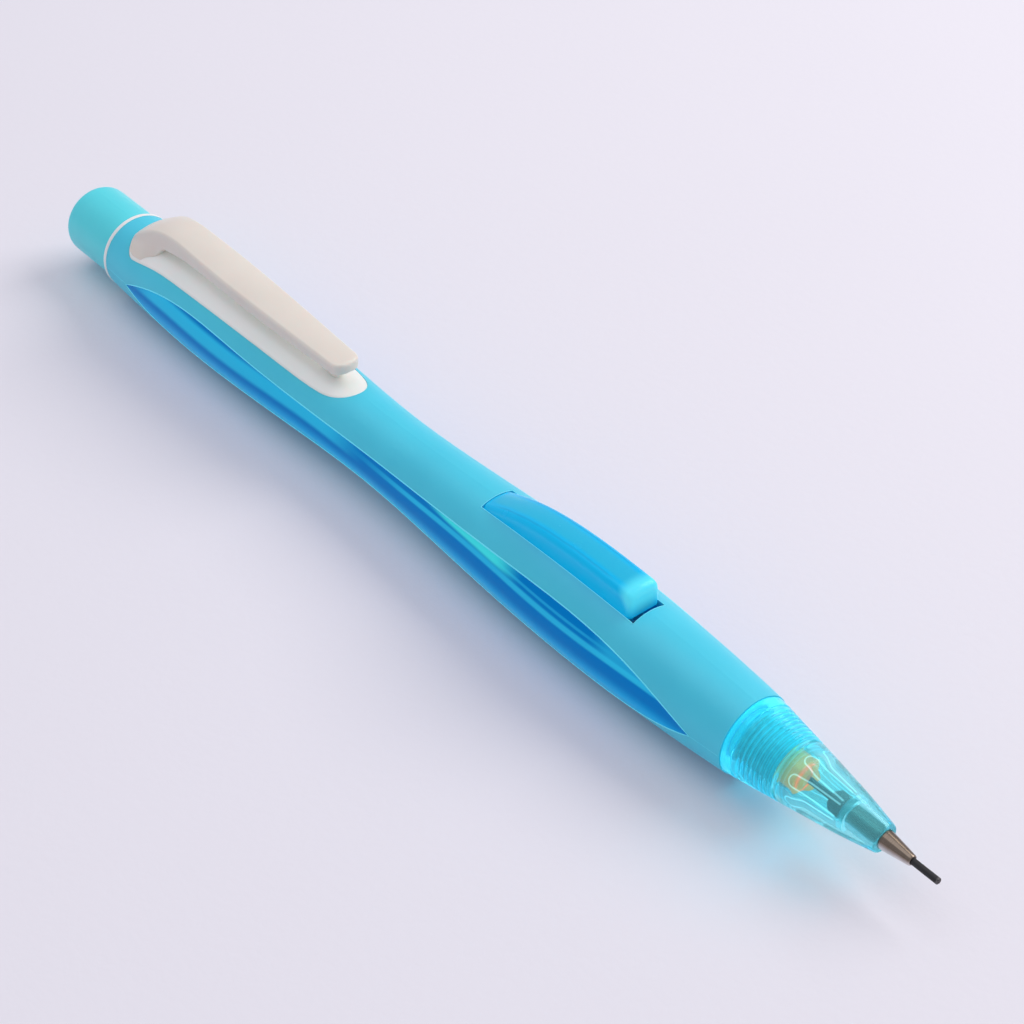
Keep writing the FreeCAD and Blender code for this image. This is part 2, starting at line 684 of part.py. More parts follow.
def flute():
    """One round-ended groove in the cone's inner wall, at the top."""
    rear = vec(X_SHOULDER - 1.0, 0, RING_GRIP_RADIUS + 0.25)
    front = vec(rear.x + CONE_FLUTE_LENGTH, 0, NOZZLE_FLANGE + 0.1)
    run = front - rear
    groove = Part.makeCylinder(CONE_FLUTE_RADIUS, run.Length, rear, run)
    return groove.fuse(Part.makeSphere(CONE_FLUTE_RADIUS, rear))


def front_cone():
    """The clear screw-off cone, ribbed outside and fluted inside."""
    outline = cone_outline()
    body = spin_points(outline + [(X_CONE_TIP, 0), (X_CONE, 0)])
    body = body.cut(spin_points(cone_cavity()))
    for turn in range(CONE_FLUTES):
        groove = flute()
        groove.rotate(vec(0), vec(1), 360.0 * turn / CONE_FLUTES)
        body = body.cut(groove)
    return body


def nozzle():
    """The metal nozzle that guides the lead."""
    flange_front = X_NOZZLE_REAR + NOZZLE_FLANGE_LENGTH
    bore = LEAD_RADIUS + NOZZLE_CLEARANCE
    tip = bore + NOZZLE_LIP
    return spin_points([
        (X_NOZZLE_REAR, bore), (X_NOZZLE_REAR, NOZZLE_FLANGE), (flange_front, NOZZLE_FLANGE),
        (flange_front, NOZZLE_RADIUS), (X_CONE_TIP + 0.1, NOZZLE_RADIUS),
        (X_NOZZLE_TIP - 0.15, tip), (X_NOZZLE_TIP, tip - 0.07), (X_NOZZLE_TIP, bore)])


def lead_retainer():
    """The rubber sleeve behind the nozzle that keeps the lead from falling back."""
    rear = X_NOZZLE_REAR - RETAINER_LENGTH
    bore = LEAD_RADIUS + LEAD_CLEARANCE
    return spin_points([(rear, bore), (rear, RETAINER_RADIUS - 0.3), (rear + 0.4, RETAINER_RADIUS),
                        (X_NOZZLE_REAR, RETAINER_RADIUS), (X_NOZZLE_REAR, bore)])


PIECES = [
    barrel_shell, window_liner, tail_ring, rear_cap, eraser_ferrule, eraser, clip_base, clip_arm,
    side_button, cam_slider, lead_tube, spare_leads, tube_joint, front_sleeve, return_spring,
    chuck, clutch_ring, active_lead, front_cone, nozzle, lead_retainer,
]


def main():
    """Write every piece, in the part's own frame."""
    os.makedirs("parts", exist_ok=True)
    to_frame = vec(-X_LEAD_TIP / 2, 0, max(REAR_BULGE, FRONT_BULGE))
    for piece in PIECES:
        shape = piece()
        shape.translate(to_frame)
        shape.exportStep("parts/" + piece.__name__ + ".step")
        print(f"{piece.__name__:16s} solids {len(shape.Solids)} valid {shape.isValid()} "
              f"volume {shape.Volume:9.3f}")
    print(f"travel {advance_travel():.4f} mm, pivot {X_PIVOT + to_frame.x:.3f} {pivot_height() + to_frame.z:.3f}, "
          f"root {X_ARM_ROOT + to_frame.x:.3f}, spring end {X_SPRING_FRONT + to_frame.x:.3f}, "
          f"length {X_LEAD_TIP:.3f}")


main()
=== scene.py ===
"""Side-advance mechanical pencil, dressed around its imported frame.

Sizes in the classes are in millimetres. A station is a distance along the pencil from the
cap's rear end, and a radius or height is from the pencil's axis. Layout turns both into
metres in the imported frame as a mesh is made.
"""
import logging
import math
from collections.abc import Callable
from dataclasses import dataclass, field
from enum import Enum

import bmesh
import bpy
import numpy as np
from mathutils import Matrix, Vector


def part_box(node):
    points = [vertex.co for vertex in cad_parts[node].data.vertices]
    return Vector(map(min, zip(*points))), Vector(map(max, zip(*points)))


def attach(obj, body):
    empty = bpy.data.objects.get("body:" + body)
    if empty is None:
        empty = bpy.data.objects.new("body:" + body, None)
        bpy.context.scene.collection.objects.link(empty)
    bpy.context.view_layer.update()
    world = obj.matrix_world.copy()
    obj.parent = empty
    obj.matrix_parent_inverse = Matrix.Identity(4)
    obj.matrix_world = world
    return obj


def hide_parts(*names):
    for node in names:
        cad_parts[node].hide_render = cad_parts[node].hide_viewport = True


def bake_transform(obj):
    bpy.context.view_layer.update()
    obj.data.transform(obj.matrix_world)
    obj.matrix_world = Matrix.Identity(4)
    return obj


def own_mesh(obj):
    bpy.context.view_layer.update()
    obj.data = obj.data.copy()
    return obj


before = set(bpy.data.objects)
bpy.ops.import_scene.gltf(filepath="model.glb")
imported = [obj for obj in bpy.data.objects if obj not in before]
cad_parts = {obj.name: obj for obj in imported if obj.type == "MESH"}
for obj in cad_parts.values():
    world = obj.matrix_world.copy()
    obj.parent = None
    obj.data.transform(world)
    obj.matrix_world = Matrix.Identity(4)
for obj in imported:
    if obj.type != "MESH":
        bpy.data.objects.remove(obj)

LOG = logging.getLogger("pencil")
MM = 0.001
LEAST_SKIN_RADIUS = 4.4
SHORTEST_OPENING = 20.0
SHORTEST_WINDOW = 60.0
OFF_MIDDLE = 1.0
BEHIND_BUTTON = 70.0
Colour = tuple[float, float, float]
Outline = list[tuple[float, float]]
Material = bpy.types.Material
Object = bpy.types.Object
Socket = bpy.types.NodeSocket


class Body(Enum):
    """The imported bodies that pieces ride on."""

    BARREL = "barrel"
    CLIP = "clip"
    BUTTON = "button"
    MAGAZINE = "magazine"
    LEAD = "lead"
    NOSE = "nose"
    CONE = "cone"


# --- shader building ------------------------------------------------------------------


class Value:
    """A shader socket that takes part in Python arithmetic."""

    def __init__(self, paint: "Paint", socket: Socket) -> None:
        """Wrap a socket of a paint's tree."""
        self.paint = paint
        self.socket = socket

    def math(self, operation: str, *operands: "Value | float") -> "Value":
        """Add a Math node.

        Args:
            operation: The Math node's operation.
            operands: Its inputs in order, as values or numbers.

        Returns:
            The node's result.
        """
        inputs = dict(enumerate(operands))
        made = self.paint.node("ShaderNodeMath", {"operation": operation}, inputs)
        return Value(self.paint, made.outputs[0])

    def __add__(self, other: "Value | float") -> "Value":
        """Sum."""
        return self.math("ADD", self, other)

    __radd__ = __add__

    def __sub__(self, other: "Value | float") -> "Value":
        """Difference."""
        return self.math("SUBTRACT", self, other)

    def __rsub__(self, other: float) -> "Value":
        """Difference from a number."""
        return self.math("SUBTRACT", other, self)

    def __mul__(self, other: "Value | float") -> "Value":
        """Product."""
        return self.math("MULTIPLY", self, other)

    __rmul__ = __mul__

    def __truediv__(self, other: "Value | float") -> "Value":
        """Quotient."""
        return self.math("DIVIDE", self, other)

    def __pow__(self, other: float) -> "Value":
        """Power."""
        return self.math("POWER", self, other)

    def __abs__(self) -> "Value":
        """Absolute value."""
        return self.math("ABSOLUTE", self)

    def sine(self) -> "Value":
        """Sine of the value in radians."""
        return self.math("SINE", self)

    def step(self, low: float, high: float) -> "Value":
        """Rise smoothly from 0 to 1.

        Args:
            low: Where the rise starts. It may lie above high, and then the value falls.
            high: Where the rise ends.

        Returns:
            The smooth step.
        """
        flip = low > high
        ends = {"From Min": min(low, high), "From Max": max(low, high)}
        ends.update({"To Min": 1.0 if flip else 0.0, "To Max": 0.0 if flip else 1.0})
        settings = {"interpolation_type": "SMOOTHSTEP"}
        made = self.paint.node("ShaderNodeMapRange", settings, {"Value": self, **ends})
        return Value(self.paint, made.outputs["Result"])

    def band(self, start: float, end: float, soft: float) -> "Value":
        """1 between two limits and 0 outside them, with soft borders."""
        return self.step(start - soft, start + soft) * self.step(end + soft, end - soft)


class Paint:
    """A material's node tree, with one Principled shader."""

    def __init__(self, name: str) -> None:
        """Start a material.

        Args:
            name: The finish's plain name.
        """
        self.material = bpy.data.materials.new(name)
        self.material.use_nodes = True
        self.tree = self.material.node_tree
        self.tree.nodes.clear()
        self.shader = self.node("ShaderNodeBsdfPrincipled", {}, {})
        self.output = self.node("ShaderNodeOutputMaterial", {}, {"Surface": self.shader.outputs[0]})
        self.where = self.node("ShaderNodeTexCoord", {}, {}).outputs["Object"]

    def node(self, kind: str, settings: dict, inputs: dict) -> bpy.types.Node:
        """Add a node.

        Args:
            kind: The node's type.
            settings: Its properties, set first. "stops" sets a colour ramp's stops.
            inputs: Its sockets' values or links, by name or index.

        Returns:
            The node.
        """
        made = self.tree.nodes.new(kind)
        for name, setting in settings.items():
            if name == "stops":
                self._set_stops(made.color_ramp, setting)
            else:
                setattr(made, name, setting)
        for key, given in inputs.items():
            self.feed(made.inputs[key], given)
        return made

    @staticmethod
    def _set_stops(ramp: bpy.types.ColorRamp, stops: list[tuple[float, Colour]]) -> None:
        """Give a colour ramp its stops."""
        while len(ramp.elements) < len(stops):
            ramp.elements.new(1.0)
        for element, (place, colour) in zip(ramp.elements, stops):
            element.position = place
            element.color = (*colour, 1.0)

    def feed(self, socket: Socket, given: object) -> None:
        """Link or set a socket.

        Args:
            socket: The input to feed.
            given: A Value, an output socket, a number, or a colour or vector.
        """
        if isinstance(given, Value):
            given = given.socket
        if isinstance(given, Socket):
            self.tree.links.new(given, socket)
        elif isinstance(given, tuple) and socket.type == "RGBA":
            socket.default_value = (*given, 1.0)
        else:
            socket.default_value = given

    def axes(self) -> tuple[Value, Value, Value]:
        """The surface point's station, side and height in metres."""
        shifted = self.place((LAYOUT.rear, 0.0, LAYOUT.axis))
        parts = self.node("ShaderNodeSeparateXYZ", {}, {0: shifted}).outputs
        return Value(self, parts[0]), Value(self, parts[1]), Value(self, parts[2])

    def place(
        self, centre: Colour = (0.0, 0.0, 0.0), scale: Colour = (1.0, 1.0, 1.0)
    ) -> Socket:
        """Object coordinates from a centre, stretched.

        Args:
            centre: The point that becomes the origin, in metres.
            scale: The stretch along each axis.

        Returns:
            The vector output.
        """
        moved = tuple(-c * s for c, s in zip(centre, scale))
        inputs = {"Vector": self.where, "Location": moved, "Scale": scale}
        return self.node("ShaderNodeMapping", {}, inputs).outputs[0]

    def noise(self, scale: float, detail: float = 3.0, stretch: Colour = (1.0, 1.0, 1.0)) -> Value:
        """Soft noise over the piece, from 0 to 1.

        Args:
            scale: Cells a metre.
            detail: Finer layers added.
            stretch: Scale along each axis.

        Returns:
            The noise value.
        """
        inputs = {"Vector": self.place(scale=stretch), "Scale": scale, "Detail": detail}
        return Value(self, self.node("ShaderNodeTexNoise", {}, inputs).outputs[0])

    def mix(self, factor: Value | float, low: object, high: object) -> Socket:
        """Mix two colours.

        Args:
            factor: 0 for the first, 1 for the second.
            low: First colour or colour socket.
            high: Second colour or colour socket.

        Returns:
            The mixed colour's socket.
        """
        settings = {"data_type": "RGBA", "clamp_factor": True}
        made = self.node("ShaderNodeMix", settings, {0: factor, 6: low, 7: high})
        return made.outputs[2]

    def ramp(self, factor: Value, stops: list[tuple[float, Colour]]) -> Socket:
        """Colour from a ramp."""
        return self.node("ShaderNodeValToRGB", {"stops": stops}, {0: factor}).outputs[0]

    def bump(self, height: Value, depth_mm: float, strength: float = 1.0) -> Socket:
        """Surface relief from a height value.

        Args:
            height: Relief from 0 to 1.
            depth_mm: How deep a height of 1 is.
            strength: Share of the relief used.

        Returns:
            The normal's socket.
        """
        inputs = {"Height": height, "Distance": depth_mm * MM, "Strength": strength}
        return self.node("ShaderNodeBump", {}, inputs).outputs[0]

    def dress(self, **inputs: object) -> Material:
        """Set the Principled shader's sockets, with _ for a space, and give the material."""
        for name, given in inputs.items():
            self.feed(self.shader.inputs[name.replace("_", " ")], given)
        return self.material

    def pass_light(self, tint: Colour) -> Material:
        """Let light through in its own tint, so that its shadow is coloured.

        Args:
            tint: Colour of the light that passes.

        Returns:
            The material.
        """
        clear = self.node("ShaderNodeBsdfTransparent", {}, {"Color": tint})
        rays = self.node("ShaderNodeLightPath", {}, {})
        inputs = {0: rays.outputs["Is Shadow Ray"], 1: self.shader.outputs[0], 2: clear.outputs[0]}
        made = self.node("ShaderNodeMixShader", {}, inputs)
        self.feed(self.output.inputs["Surface"], made.outputs[0])
        return self.material


# --- mesh building --------------------------------------------------------------------


@dataclass(frozen=True)
class Layout:
    """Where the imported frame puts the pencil: its rear end and its axis, in metres."""

    rear: float
    axis: float

    @classmethod
    def from_frame(cls) -> "Layout":
        """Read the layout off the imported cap."""
        low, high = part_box("rear_cap")
        return cls(low.x, (low.z + high.z) / 2)

    def metres(self, points: np.ndarray) -> np.ndarray:
        """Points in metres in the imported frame.

        Args:
            points: Rows of station, side and height, in millimetres.

        Returns:
            Rows of x, y and z.
        """
        return np.asarray(points, float) * MM + np.array([self.rear, 0.0, self.axis])

    def millimetres(self, points: np.ndarray) -> np.ndarray:
        """The inverse of metres."""
        return (np.asarray(points, float) - np.array([self.rear, 0.0, self.axis])) / MM


LAYOUT = Layout.from_frame()


def add_object(name: str, data: bpy.types.ID) -> Object:
    """Put a new object that holds some data into the scene."""
    made = bpy.data.objects.new(name, data)
    bpy.context.scene.collection.objects.link(made)
    return made


def make_mesh(
    name: str, points: np.ndarray, faces: list, sharp_deg: float = 35.0
) -> Object:
    """Make a piece from points in millimetres.

    Args:
        name: The piece's name.
        points: Rows of station, side and height.
        faces: Vertex indices of each face.
        sharp_deg: Edges that turn more than this stay crisp.

    Returns:
        The piece, at the origin, with its doubles merged and its faces turned out.
    """
    mesh = bpy.data.meshes.new(name)
    mesh.from_pydata(LAYOUT.metres(points).tolist(), [], [list(face) for face in faces])
    work = bmesh.new()
    work.from_mesh(mesh)
    bmesh.ops.remove_doubles(work, verts=work.verts, dist=1e-7)
    bmesh.ops.dissolve_degenerate(work, edges=work.edges, dist=1e-8)
    bmesh.ops.recalc_face_normals(work, faces=work.faces)
    work.to_mesh(mesh)
    work.free()
    mesh.shade_smooth()
    mesh.set_sharp_from_angle(angle=math.radians(sharp_deg))
    return add_object(name, mesh)


def grid_faces(
    rows: int, columns: int, closed_rows: bool, closed_columns: bool
) -> list[tuple[int, ...]]:
    """Quads of a grid of points given row by row.

    Args:
        rows: Number of rows.
        columns: Points in a row.
        closed_rows: True if the last row joins the first.
        closed_columns: True if each row is a loop.

    Returns:
        The quads.
    """
    faces = []
    for i in range(rows if closed_rows else rows - 1):
        for j in range(columns if closed_columns else columns - 1):
            a, b = i * columns, ((i + 1) % rows) * columns
            k = (j + 1) % columns
            faces.append((a + j, a + k, b + k, b + j))
    return faces


def rounded(corners: list[tuple[float, float, float]], steps: int = 5) -> Outline:
    """A closed outline with its corners rounded.

    Args:
        corners: Station, radius and rounding of each corner, in order.
        steps: Points on each rounding.

    Returns:
        The outline's points.
    """
    points: Outline = []
    for i, (x, r, fillet) in enumerate(corners):
        here = np.array([x, r])
        if fillet <= 0:
            points.append((x, r))
            continue
        arms = []
        for other in (corners[i - 1], corners[(i + 1) % len(corners)]):
            arm = np.array(other[:2]) - here
            length = float(np.linalg.norm(arm))
            arms.append(here + arm / length * min(fillet, 0.48 * length))
        for t in np.linspace(0.0, 1.0, steps + 1):
            spot = (1 - t) ** 2 * arms[0] + 2 * t * (1 - t) * here + t * t * arms[1]
            points.append((float(spot[0]), float(spot[1])))
    return points


def subdivided(outline: Outline, longest: float) -> Outline:
    """The closed outline with its long runs cut into shorter ones."""
    points: Outline = []
    for (x0, r0), (x1, r1) in zip(outline, outline[1:] + outline[:1]):
        parts = max(1, math.ceil(math.hypot(x1 - x0, r1 - r0) / longest))
        points += [(x0 + (x1 - x0) * k / parts, r0 + (r1 - r0) * k / parts) for k in range(parts)]
    return points


def revolve(
    name: str, station: np.ndarray, radius: np.ndarray, turn: np.ndarray, sharp_deg: float
) -> Object:
    """Make a turned piece whose radius may change round the axis.

    Args:
        name: The piece's name.
        station: Column of each row's station.
        radius: Radius of each row, or of each point.
        turn: Angle of each point in a row.
        sharp_deg: Edges that turn more than this stay crisp.

    Returns:
        The piece.
    """
    around = [station + 0 * turn, radius * np.sin(turn), radius * np.cos(turn)]
    points = np.stack(around, axis=-1).reshape(-1, 3)
    return make_mesh(name, points, grid_faces(len(station), len(turn), True, True), sharp_deg)


def lathe(name: str, outline: Outline, segments: int, sharp_deg: float) -> Object:
    """Turn a closed outline about the pencil's axis.

    Args:
        name: The piece's name.
        outline: Station and radius of each point.
        segments: Points round the axis.
        sharp_deg: Edges that turn more than this stay crisp.

    Returns:
        The turned piece.
    """
    turn = np.linspace(0.0, 2 * math.pi, segments, endpoint=False)
    station = np.array([x for x, _ in outline])[:, None]
    radius = np.array([max(r, 0.0) for _, r in outline])[:, None]
    return revolve(name, station, radius, turn, sharp_deg)


def loft(name: str, sections: list[np.ndarray], sharp_deg: float) -> Object:
    """Skin a row of closed sections that have the same number of points.

    Args:
        name: The piece's name.
        sections: Rows of station, side and height for each section.
        sharp_deg: Edges that turn more than this stay crisp.

    Returns:
        The piece, with its two ends closed.
    """
    count = len(sections[0])
    faces = grid_faces(len(sections), count, False, True)
    faces.append(tuple(range(count)))
    last = (len(sections) - 1) * count
    faces.append(tuple(range(last, last + count)))
    return make_mesh(name, np.concatenate(sections), faces, sharp_deg)


def spaced(start: float, end: float, count: int) -> np.ndarray:
    """Stations that crowd together near both ends."""
    return start + (end - start) * (1 - np.cos(np.linspace(0.0, math.pi, count))) / 2


def spline(knots: Outline) -> Callable[[np.ndarray | float], np.ndarray]:
    """A smooth curve through knots.

    Args:
        knots: Station and value of each knot, in rising order.

    Returns:
        A function that gives the value at stations.
    """
    x, y = (np.array(column, float) for column in zip(*knots))
    gaps, slopes = np.diff(x), np.diff(y) / np.diff(x)
    matrix, right = np.eye(len(x)), np.zeros(len(x))
    for i in range(1, len(x) - 1):
        matrix[i, i - 1 : i + 2] = gaps[i - 1], 2 * (gaps[i - 1] + gaps[i]), gaps[i]
        right[i] = 6 * (slopes[i] - slopes[i - 1])
    bends = np.linalg.solve(matrix, right)

    def value(station: np.ndarray | float) -> np.ndarray:
        """The curve's value at stations."""
        i = np.clip(np.searchsorted(x, station) - 1, 0, len(x) - 2)
        a, b, gap = x[i + 1] - station, station - x[i], gaps[i]
        cubic = (bends[i] * a**3 + bends[i + 1] * b**3) / (6 * gap)
        before = (y[i] / gap - bends[i] * gap / 6) * a
        after = (y[i + 1] / gap - bends[i + 1] * gap / 6) * b
        return cubic + before + after

    return value


def smooth(value: np.ndarray | float, low: float, high: float) -> np.ndarray:
    """Rise smoothly from 0 at low to 1 at high."""
    t = np.clip((np.asarray(value, float) - low) / (high - low), 0.0, 1.0)
    return t * t * (3 - 2 * t)


def edge_drop(inside: np.ndarray | float, radius: float) -> np.ndarray:
    """How far a rounded edge has fallen at a distance inside its border."""
    over = np.clip(radius - np.asarray(inside, float), 0.0, radius)
    return radius - np.sqrt(radius**2 - over**2)


# --- geometry nodes -------------------------------------------------------------------


class Recipe:
    """A Geometry Nodes tree with named inputs, run once and turned into a plain mesh."""

    def __init__(self, name: str, sizes: dict[str, float]) -> None:
        """Start the tree.

        Args:
            name: The tree's name.
            sizes: Its number inputs, with their values.
        """
        self.tree = bpy.data.node_groups.new(name, "GeometryNodeTree")
        self.sizes = sizes
        sockets = [("Geometry", "INPUT", "Geometry"), ("Geometry", "OUTPUT", "Geometry")]
        for label, way, kind in sockets + [(size, "INPUT", "Float") for size in sizes]:
            self.tree.interface.new_socket(
                label, in_out=way, socket_type="NodeSocket" + kind)
        self.entry = self.tree.nodes.new("NodeGroupInput").outputs
        self.exit = self.tree.nodes.new("NodeGroupOutput")

    def node(self, kind: str, settings: dict, inputs: dict) -> bpy.types.Node:
        """Add a node.

        Args:
            kind: The node's type.
            settings: Its properties, set first.
            inputs: Its sockets' values or links, by name or index.

        Returns:
            The node.
        """
        made = self.tree.nodes.new(kind)
        for name, setting in settings.items():
            setattr(made, name, setting)
        for key, given in inputs.items():
            if isinstance(given, Socket):
                self.tree.links.new(given, made.inputs[key])
            else:
                made.inputs[key].default_value = given
        return made

    def calc(self, operation: str, *operands: object) -> Socket:
        """The result of a Math node on the operands."""
        made = self.node("ShaderNodeMath", {"operation": operation}, dict(enumerate(operands)))
        return made.outputs[0]

    def sweep(self, line: Socket, radius: Socket) -> Socket:
        """Sweep a round wire along curves.

        Args:
            line: The curves.
            radius: The wire's radius.

        Returns:
            The capped tube.
        """
        circle = {"Resolution": 8, "Radius": radius}
        ring = self.node("GeometryNodeCurvePrimitiveCircle", {}, circle)
        inputs = {"Curve": line, "Profile Curve": ring.outputs[0], "Fill Caps": True}
        return self.node("GeometryNodeCurveToMesh", {}, inputs).outputs[0]

    def run(self, piece: Object, result: Socket, finish: Material) -> None:
        """Close the tree, run it on a piece and keep the plain mesh.

        Args:
            piece: The piece whose mesh goes in and is replaced by what comes out.
            result: The geometry that the tree makes.
            finish: The material of the made mesh.
        """
        real = self.node("GeometryNodeRealizeInstances", {}, {0: result})
        inputs = {"Geometry": real.outputs[0], "Material": finish}
        dressed = self.node("GeometryNodeSetMaterial", {}, inputs)
        self.tree.links.new(dressed.outputs[0], self.exit.inputs[0])
        modifier = piece.modifiers.new("recipe", "NODES")
        modifier.node_group = self.tree
        for item in self.tree.interface.items_tree:
            if item.in_out == "INPUT" and item.name in self.sizes:
                modifier[item.identifier] = self.sizes[item.name]
        graph = bpy.context.evaluated_depsgraph_get()
        made = bpy.data.meshes.new_from_object(piece.evaluated_get(graph), depsgraph=graph)
        piece.modifiers.remove(modifier)
        piece.data = made


def wind(name: str, rear: float, finish: Material, **sizes: float) -> Object:
    """Wind a wire round the pencil's axis.

    Args:
        name: The piece's name.
        rear: Station of the first turn.
        finish: The wire's finish.
        sizes: Turns, and the coil's Radius and Length and the Wire's radius in millimetres.

    Returns:
        The wound piece.
    """
    piece = add_object(name, bpy.data.meshes.new(name))
    metres = {size: value * (1.0 if size == "Turns" else MM) for size, value in sizes.items()}
    recipe = Recipe(name + "_winding", metres)
    entry = recipe.entry
    wound = recipe.node("GeometryNodeCurveSpiral", {}, {
        "Resolution": 64, "Rotations": entry["Turns"], "Start Radius": entry["Radius"],
        "End Radius": entry["Radius"], "Height": entry["Length"]})
    start = tuple(LAYOUT.metres(np.array([rear, 0.0, 0.0])))
    laid = recipe.node("GeometryNodeTransform", {}, {
        "Geometry": recipe.sweep(wound.outputs[0], entry["Wire"]),
        "Rotation": (0.0, math.pi / 2, 0.0), "Translation": start})
    soft = recipe.node("GeometryNodeSetShadeSmooth", {}, {0: laid.outputs[0]})
    recipe.run(piece, soft.outputs[0], finish)
    return piece


@dataclass(frozen=True)
class Bead:
    """A thin rounded lip laid along a path."""

    name: str
    radius: float

    def lay(self, paths: list[np.ndarray], closed: bool, finish: Material) -> Object:
        """Sweep a round wire along paths.

        Args:
            paths: Points of each path, in millimetres.
            closed: True if each path is a loop.
            finish: The lip's material.

        Returns:
            The lip as one piece.
        """
        points, edges = [], []
        for path in paths:
            first = len(points)
            points += LAYOUT.metres(path).tolist()
            edges += [(first + i, first + i + 1) for i in range(len(path) - 1)]
            edges += [(first + len(path) - 1, first)] if closed else []
        mesh = bpy.data.meshes.new(self.name)
        mesh.from_pydata(points, edges, [])
        piece = add_object(self.name, mesh)
        recipe = Recipe(self.name + "_sweep", {"Radius": self.radius * MM})
        line = recipe.node("GeometryNodeMeshToCurve", {}, {0: recipe.entry["Geometry"]})
        swept = recipe.sweep(line.outputs[0], recipe.entry["Radius"])
        soft = recipe.node("GeometryNodeSetShadeSmooth", {}, {0: swept})
        recipe.run(piece, soft.outputs[0], finish)
        return piece


# --- finishes -------------------------------------------------------------------------


@dataclass(frozen=True)
class SoftPlastic:
    """Satin moulded plastic that lets a little light in, with an optional painted glow from its
    emission.
    """

    name: str
    colour: Colour
    deep: Colour
    roughness: float = 0.42
    glow: float = 0.25
    reach_mm: float = 0.8
    grain_mm: float = 0.004
    # painted_glow: emission strength that paints light on the plastic, which is no lamp.
    painted_glow: float = 0.0

    def make(self) -> Material:
        """Build the material."""
        paint = Paint(self.name)
        cloud = paint.noise(140.0, 4.0)
        grain = paint.noise(9000.0, 2.0)
        rough = self.roughness + 0.10 * (cloud - 0.5) + 0.06 * (grain - 0.5)
        base = paint.mix(cloud.step(0.25, 0.75), self.deep, self.colour)
        return paint.dress(
            Base_Color=base,
            Roughness=rough,
            # Emission paints a glow in the plastic's own colour.
            Emission_Color=base,
            Emission_Strength=self.painted_glow,
            Subsurface_Weight=self.glow,
            Subsurface_Radius=(0.4, 0.9, 1.0),
            Subsurface_Scale=self.reach_mm * MM,
            Normal=paint.bump(grain, self.grain_mm),
        )


@dataclass(frozen=True)
class TintedWindow:
    """Polished tinted lens, with painted streaks and a painted gleam for the reflections and
    refracted edges seen in it, painted shade and a painted glow.
    """

    name: str
    # deep and body are painted shade and light; painted_streak and painted_gleam are painted
    # reflections.
    deep: Colour = (0.0, 0.19, 0.54)
    body: Colour = (0.0, 0.40, 0.80)
    painted_streak: Colour = (0.03, 0.56, 0.84)
    painted_gleam: Colour = (0.06, 0.80, 0.80)
    glow: float = 0.16

    def make(self) -> Material:
        """Build the material."""
        paint = Paint(self.name)
        x, side, height = paint.axes()
        turn = height / (abs(side) + 0.0005)
        along = paint.noise(30.0, 2.0, (0.3, 1.0, 1.0))
        wave = turn + 0.03 * (x * 210.0).sine() + 0.05 * (along - 0.5)
        fine = wave.band(0.24, 0.36, 0.03) * x.step(0.058, 0.074)
        # Painted reflections: light streaks along the lens, and one painted shade streak in the
        # deep blue.
        streaks = (
            (wave.band(0.10, 0.44, 0.07) * x.band(0.0185, 0.060, 0.004) * 0.8, self.painted_streak),
            (wave.band(-0.42, -0.26, 0.05) * x.band(0.03, 0.105, 0.012) * 0.4, self.painted_streak),
            (fine * x.band(0.06, 0.113, 0.004) * 0.75, self.painted_streak),
            (wave.band(0.27, 0.62, 0.05) * x.band(0.1035, 0.1135, 0.002) * 0.55, self.painted_streak),
            (wave.band(0.44, 0.50, 0.02) * x.band(0.082, 0.104, 0.004) * 0.45, self.painted_streak),
            (wave.band(0.50, 0.58, 0.04) * x.band(0.022, 0.062, 0.006) * 0.6, self.deep),
        )
        # Painted light and shade by angle round the axis: lighter below the middle, deeper blue
        # above.
        base = paint.mix(wave.step(-0.28, 0.06), self.body, self.deep)
        for mask, colour in streaks:
            base = paint.mix(mask, base, colour)
        # Painted gleam: a lens-shaped patch of light.
        lens = (turn + 6.0 * (x - 0.083)).band(0.42, 0.70, 0.05) * x.band(0.0765, 0.089, 0.0025)
        base = paint.mix(lens * 0.9, base, self.painted_gleam)
        grain = paint.noise(400.0, 2.0)
        return paint.dress(
            Base_Color=base,
            Roughness=0.14 + 0.06 * grain,
            IOR=1.2,
            Specular_IOR_Level=0.35,
            Specular_Tint=(0.3, 0.8, 1.0),
            # Painted glow.
            Emission_Color=base,
            Emission_Strength=self.glow,
            Normal=paint.bump(grain, 0.01, 0.4),
        )


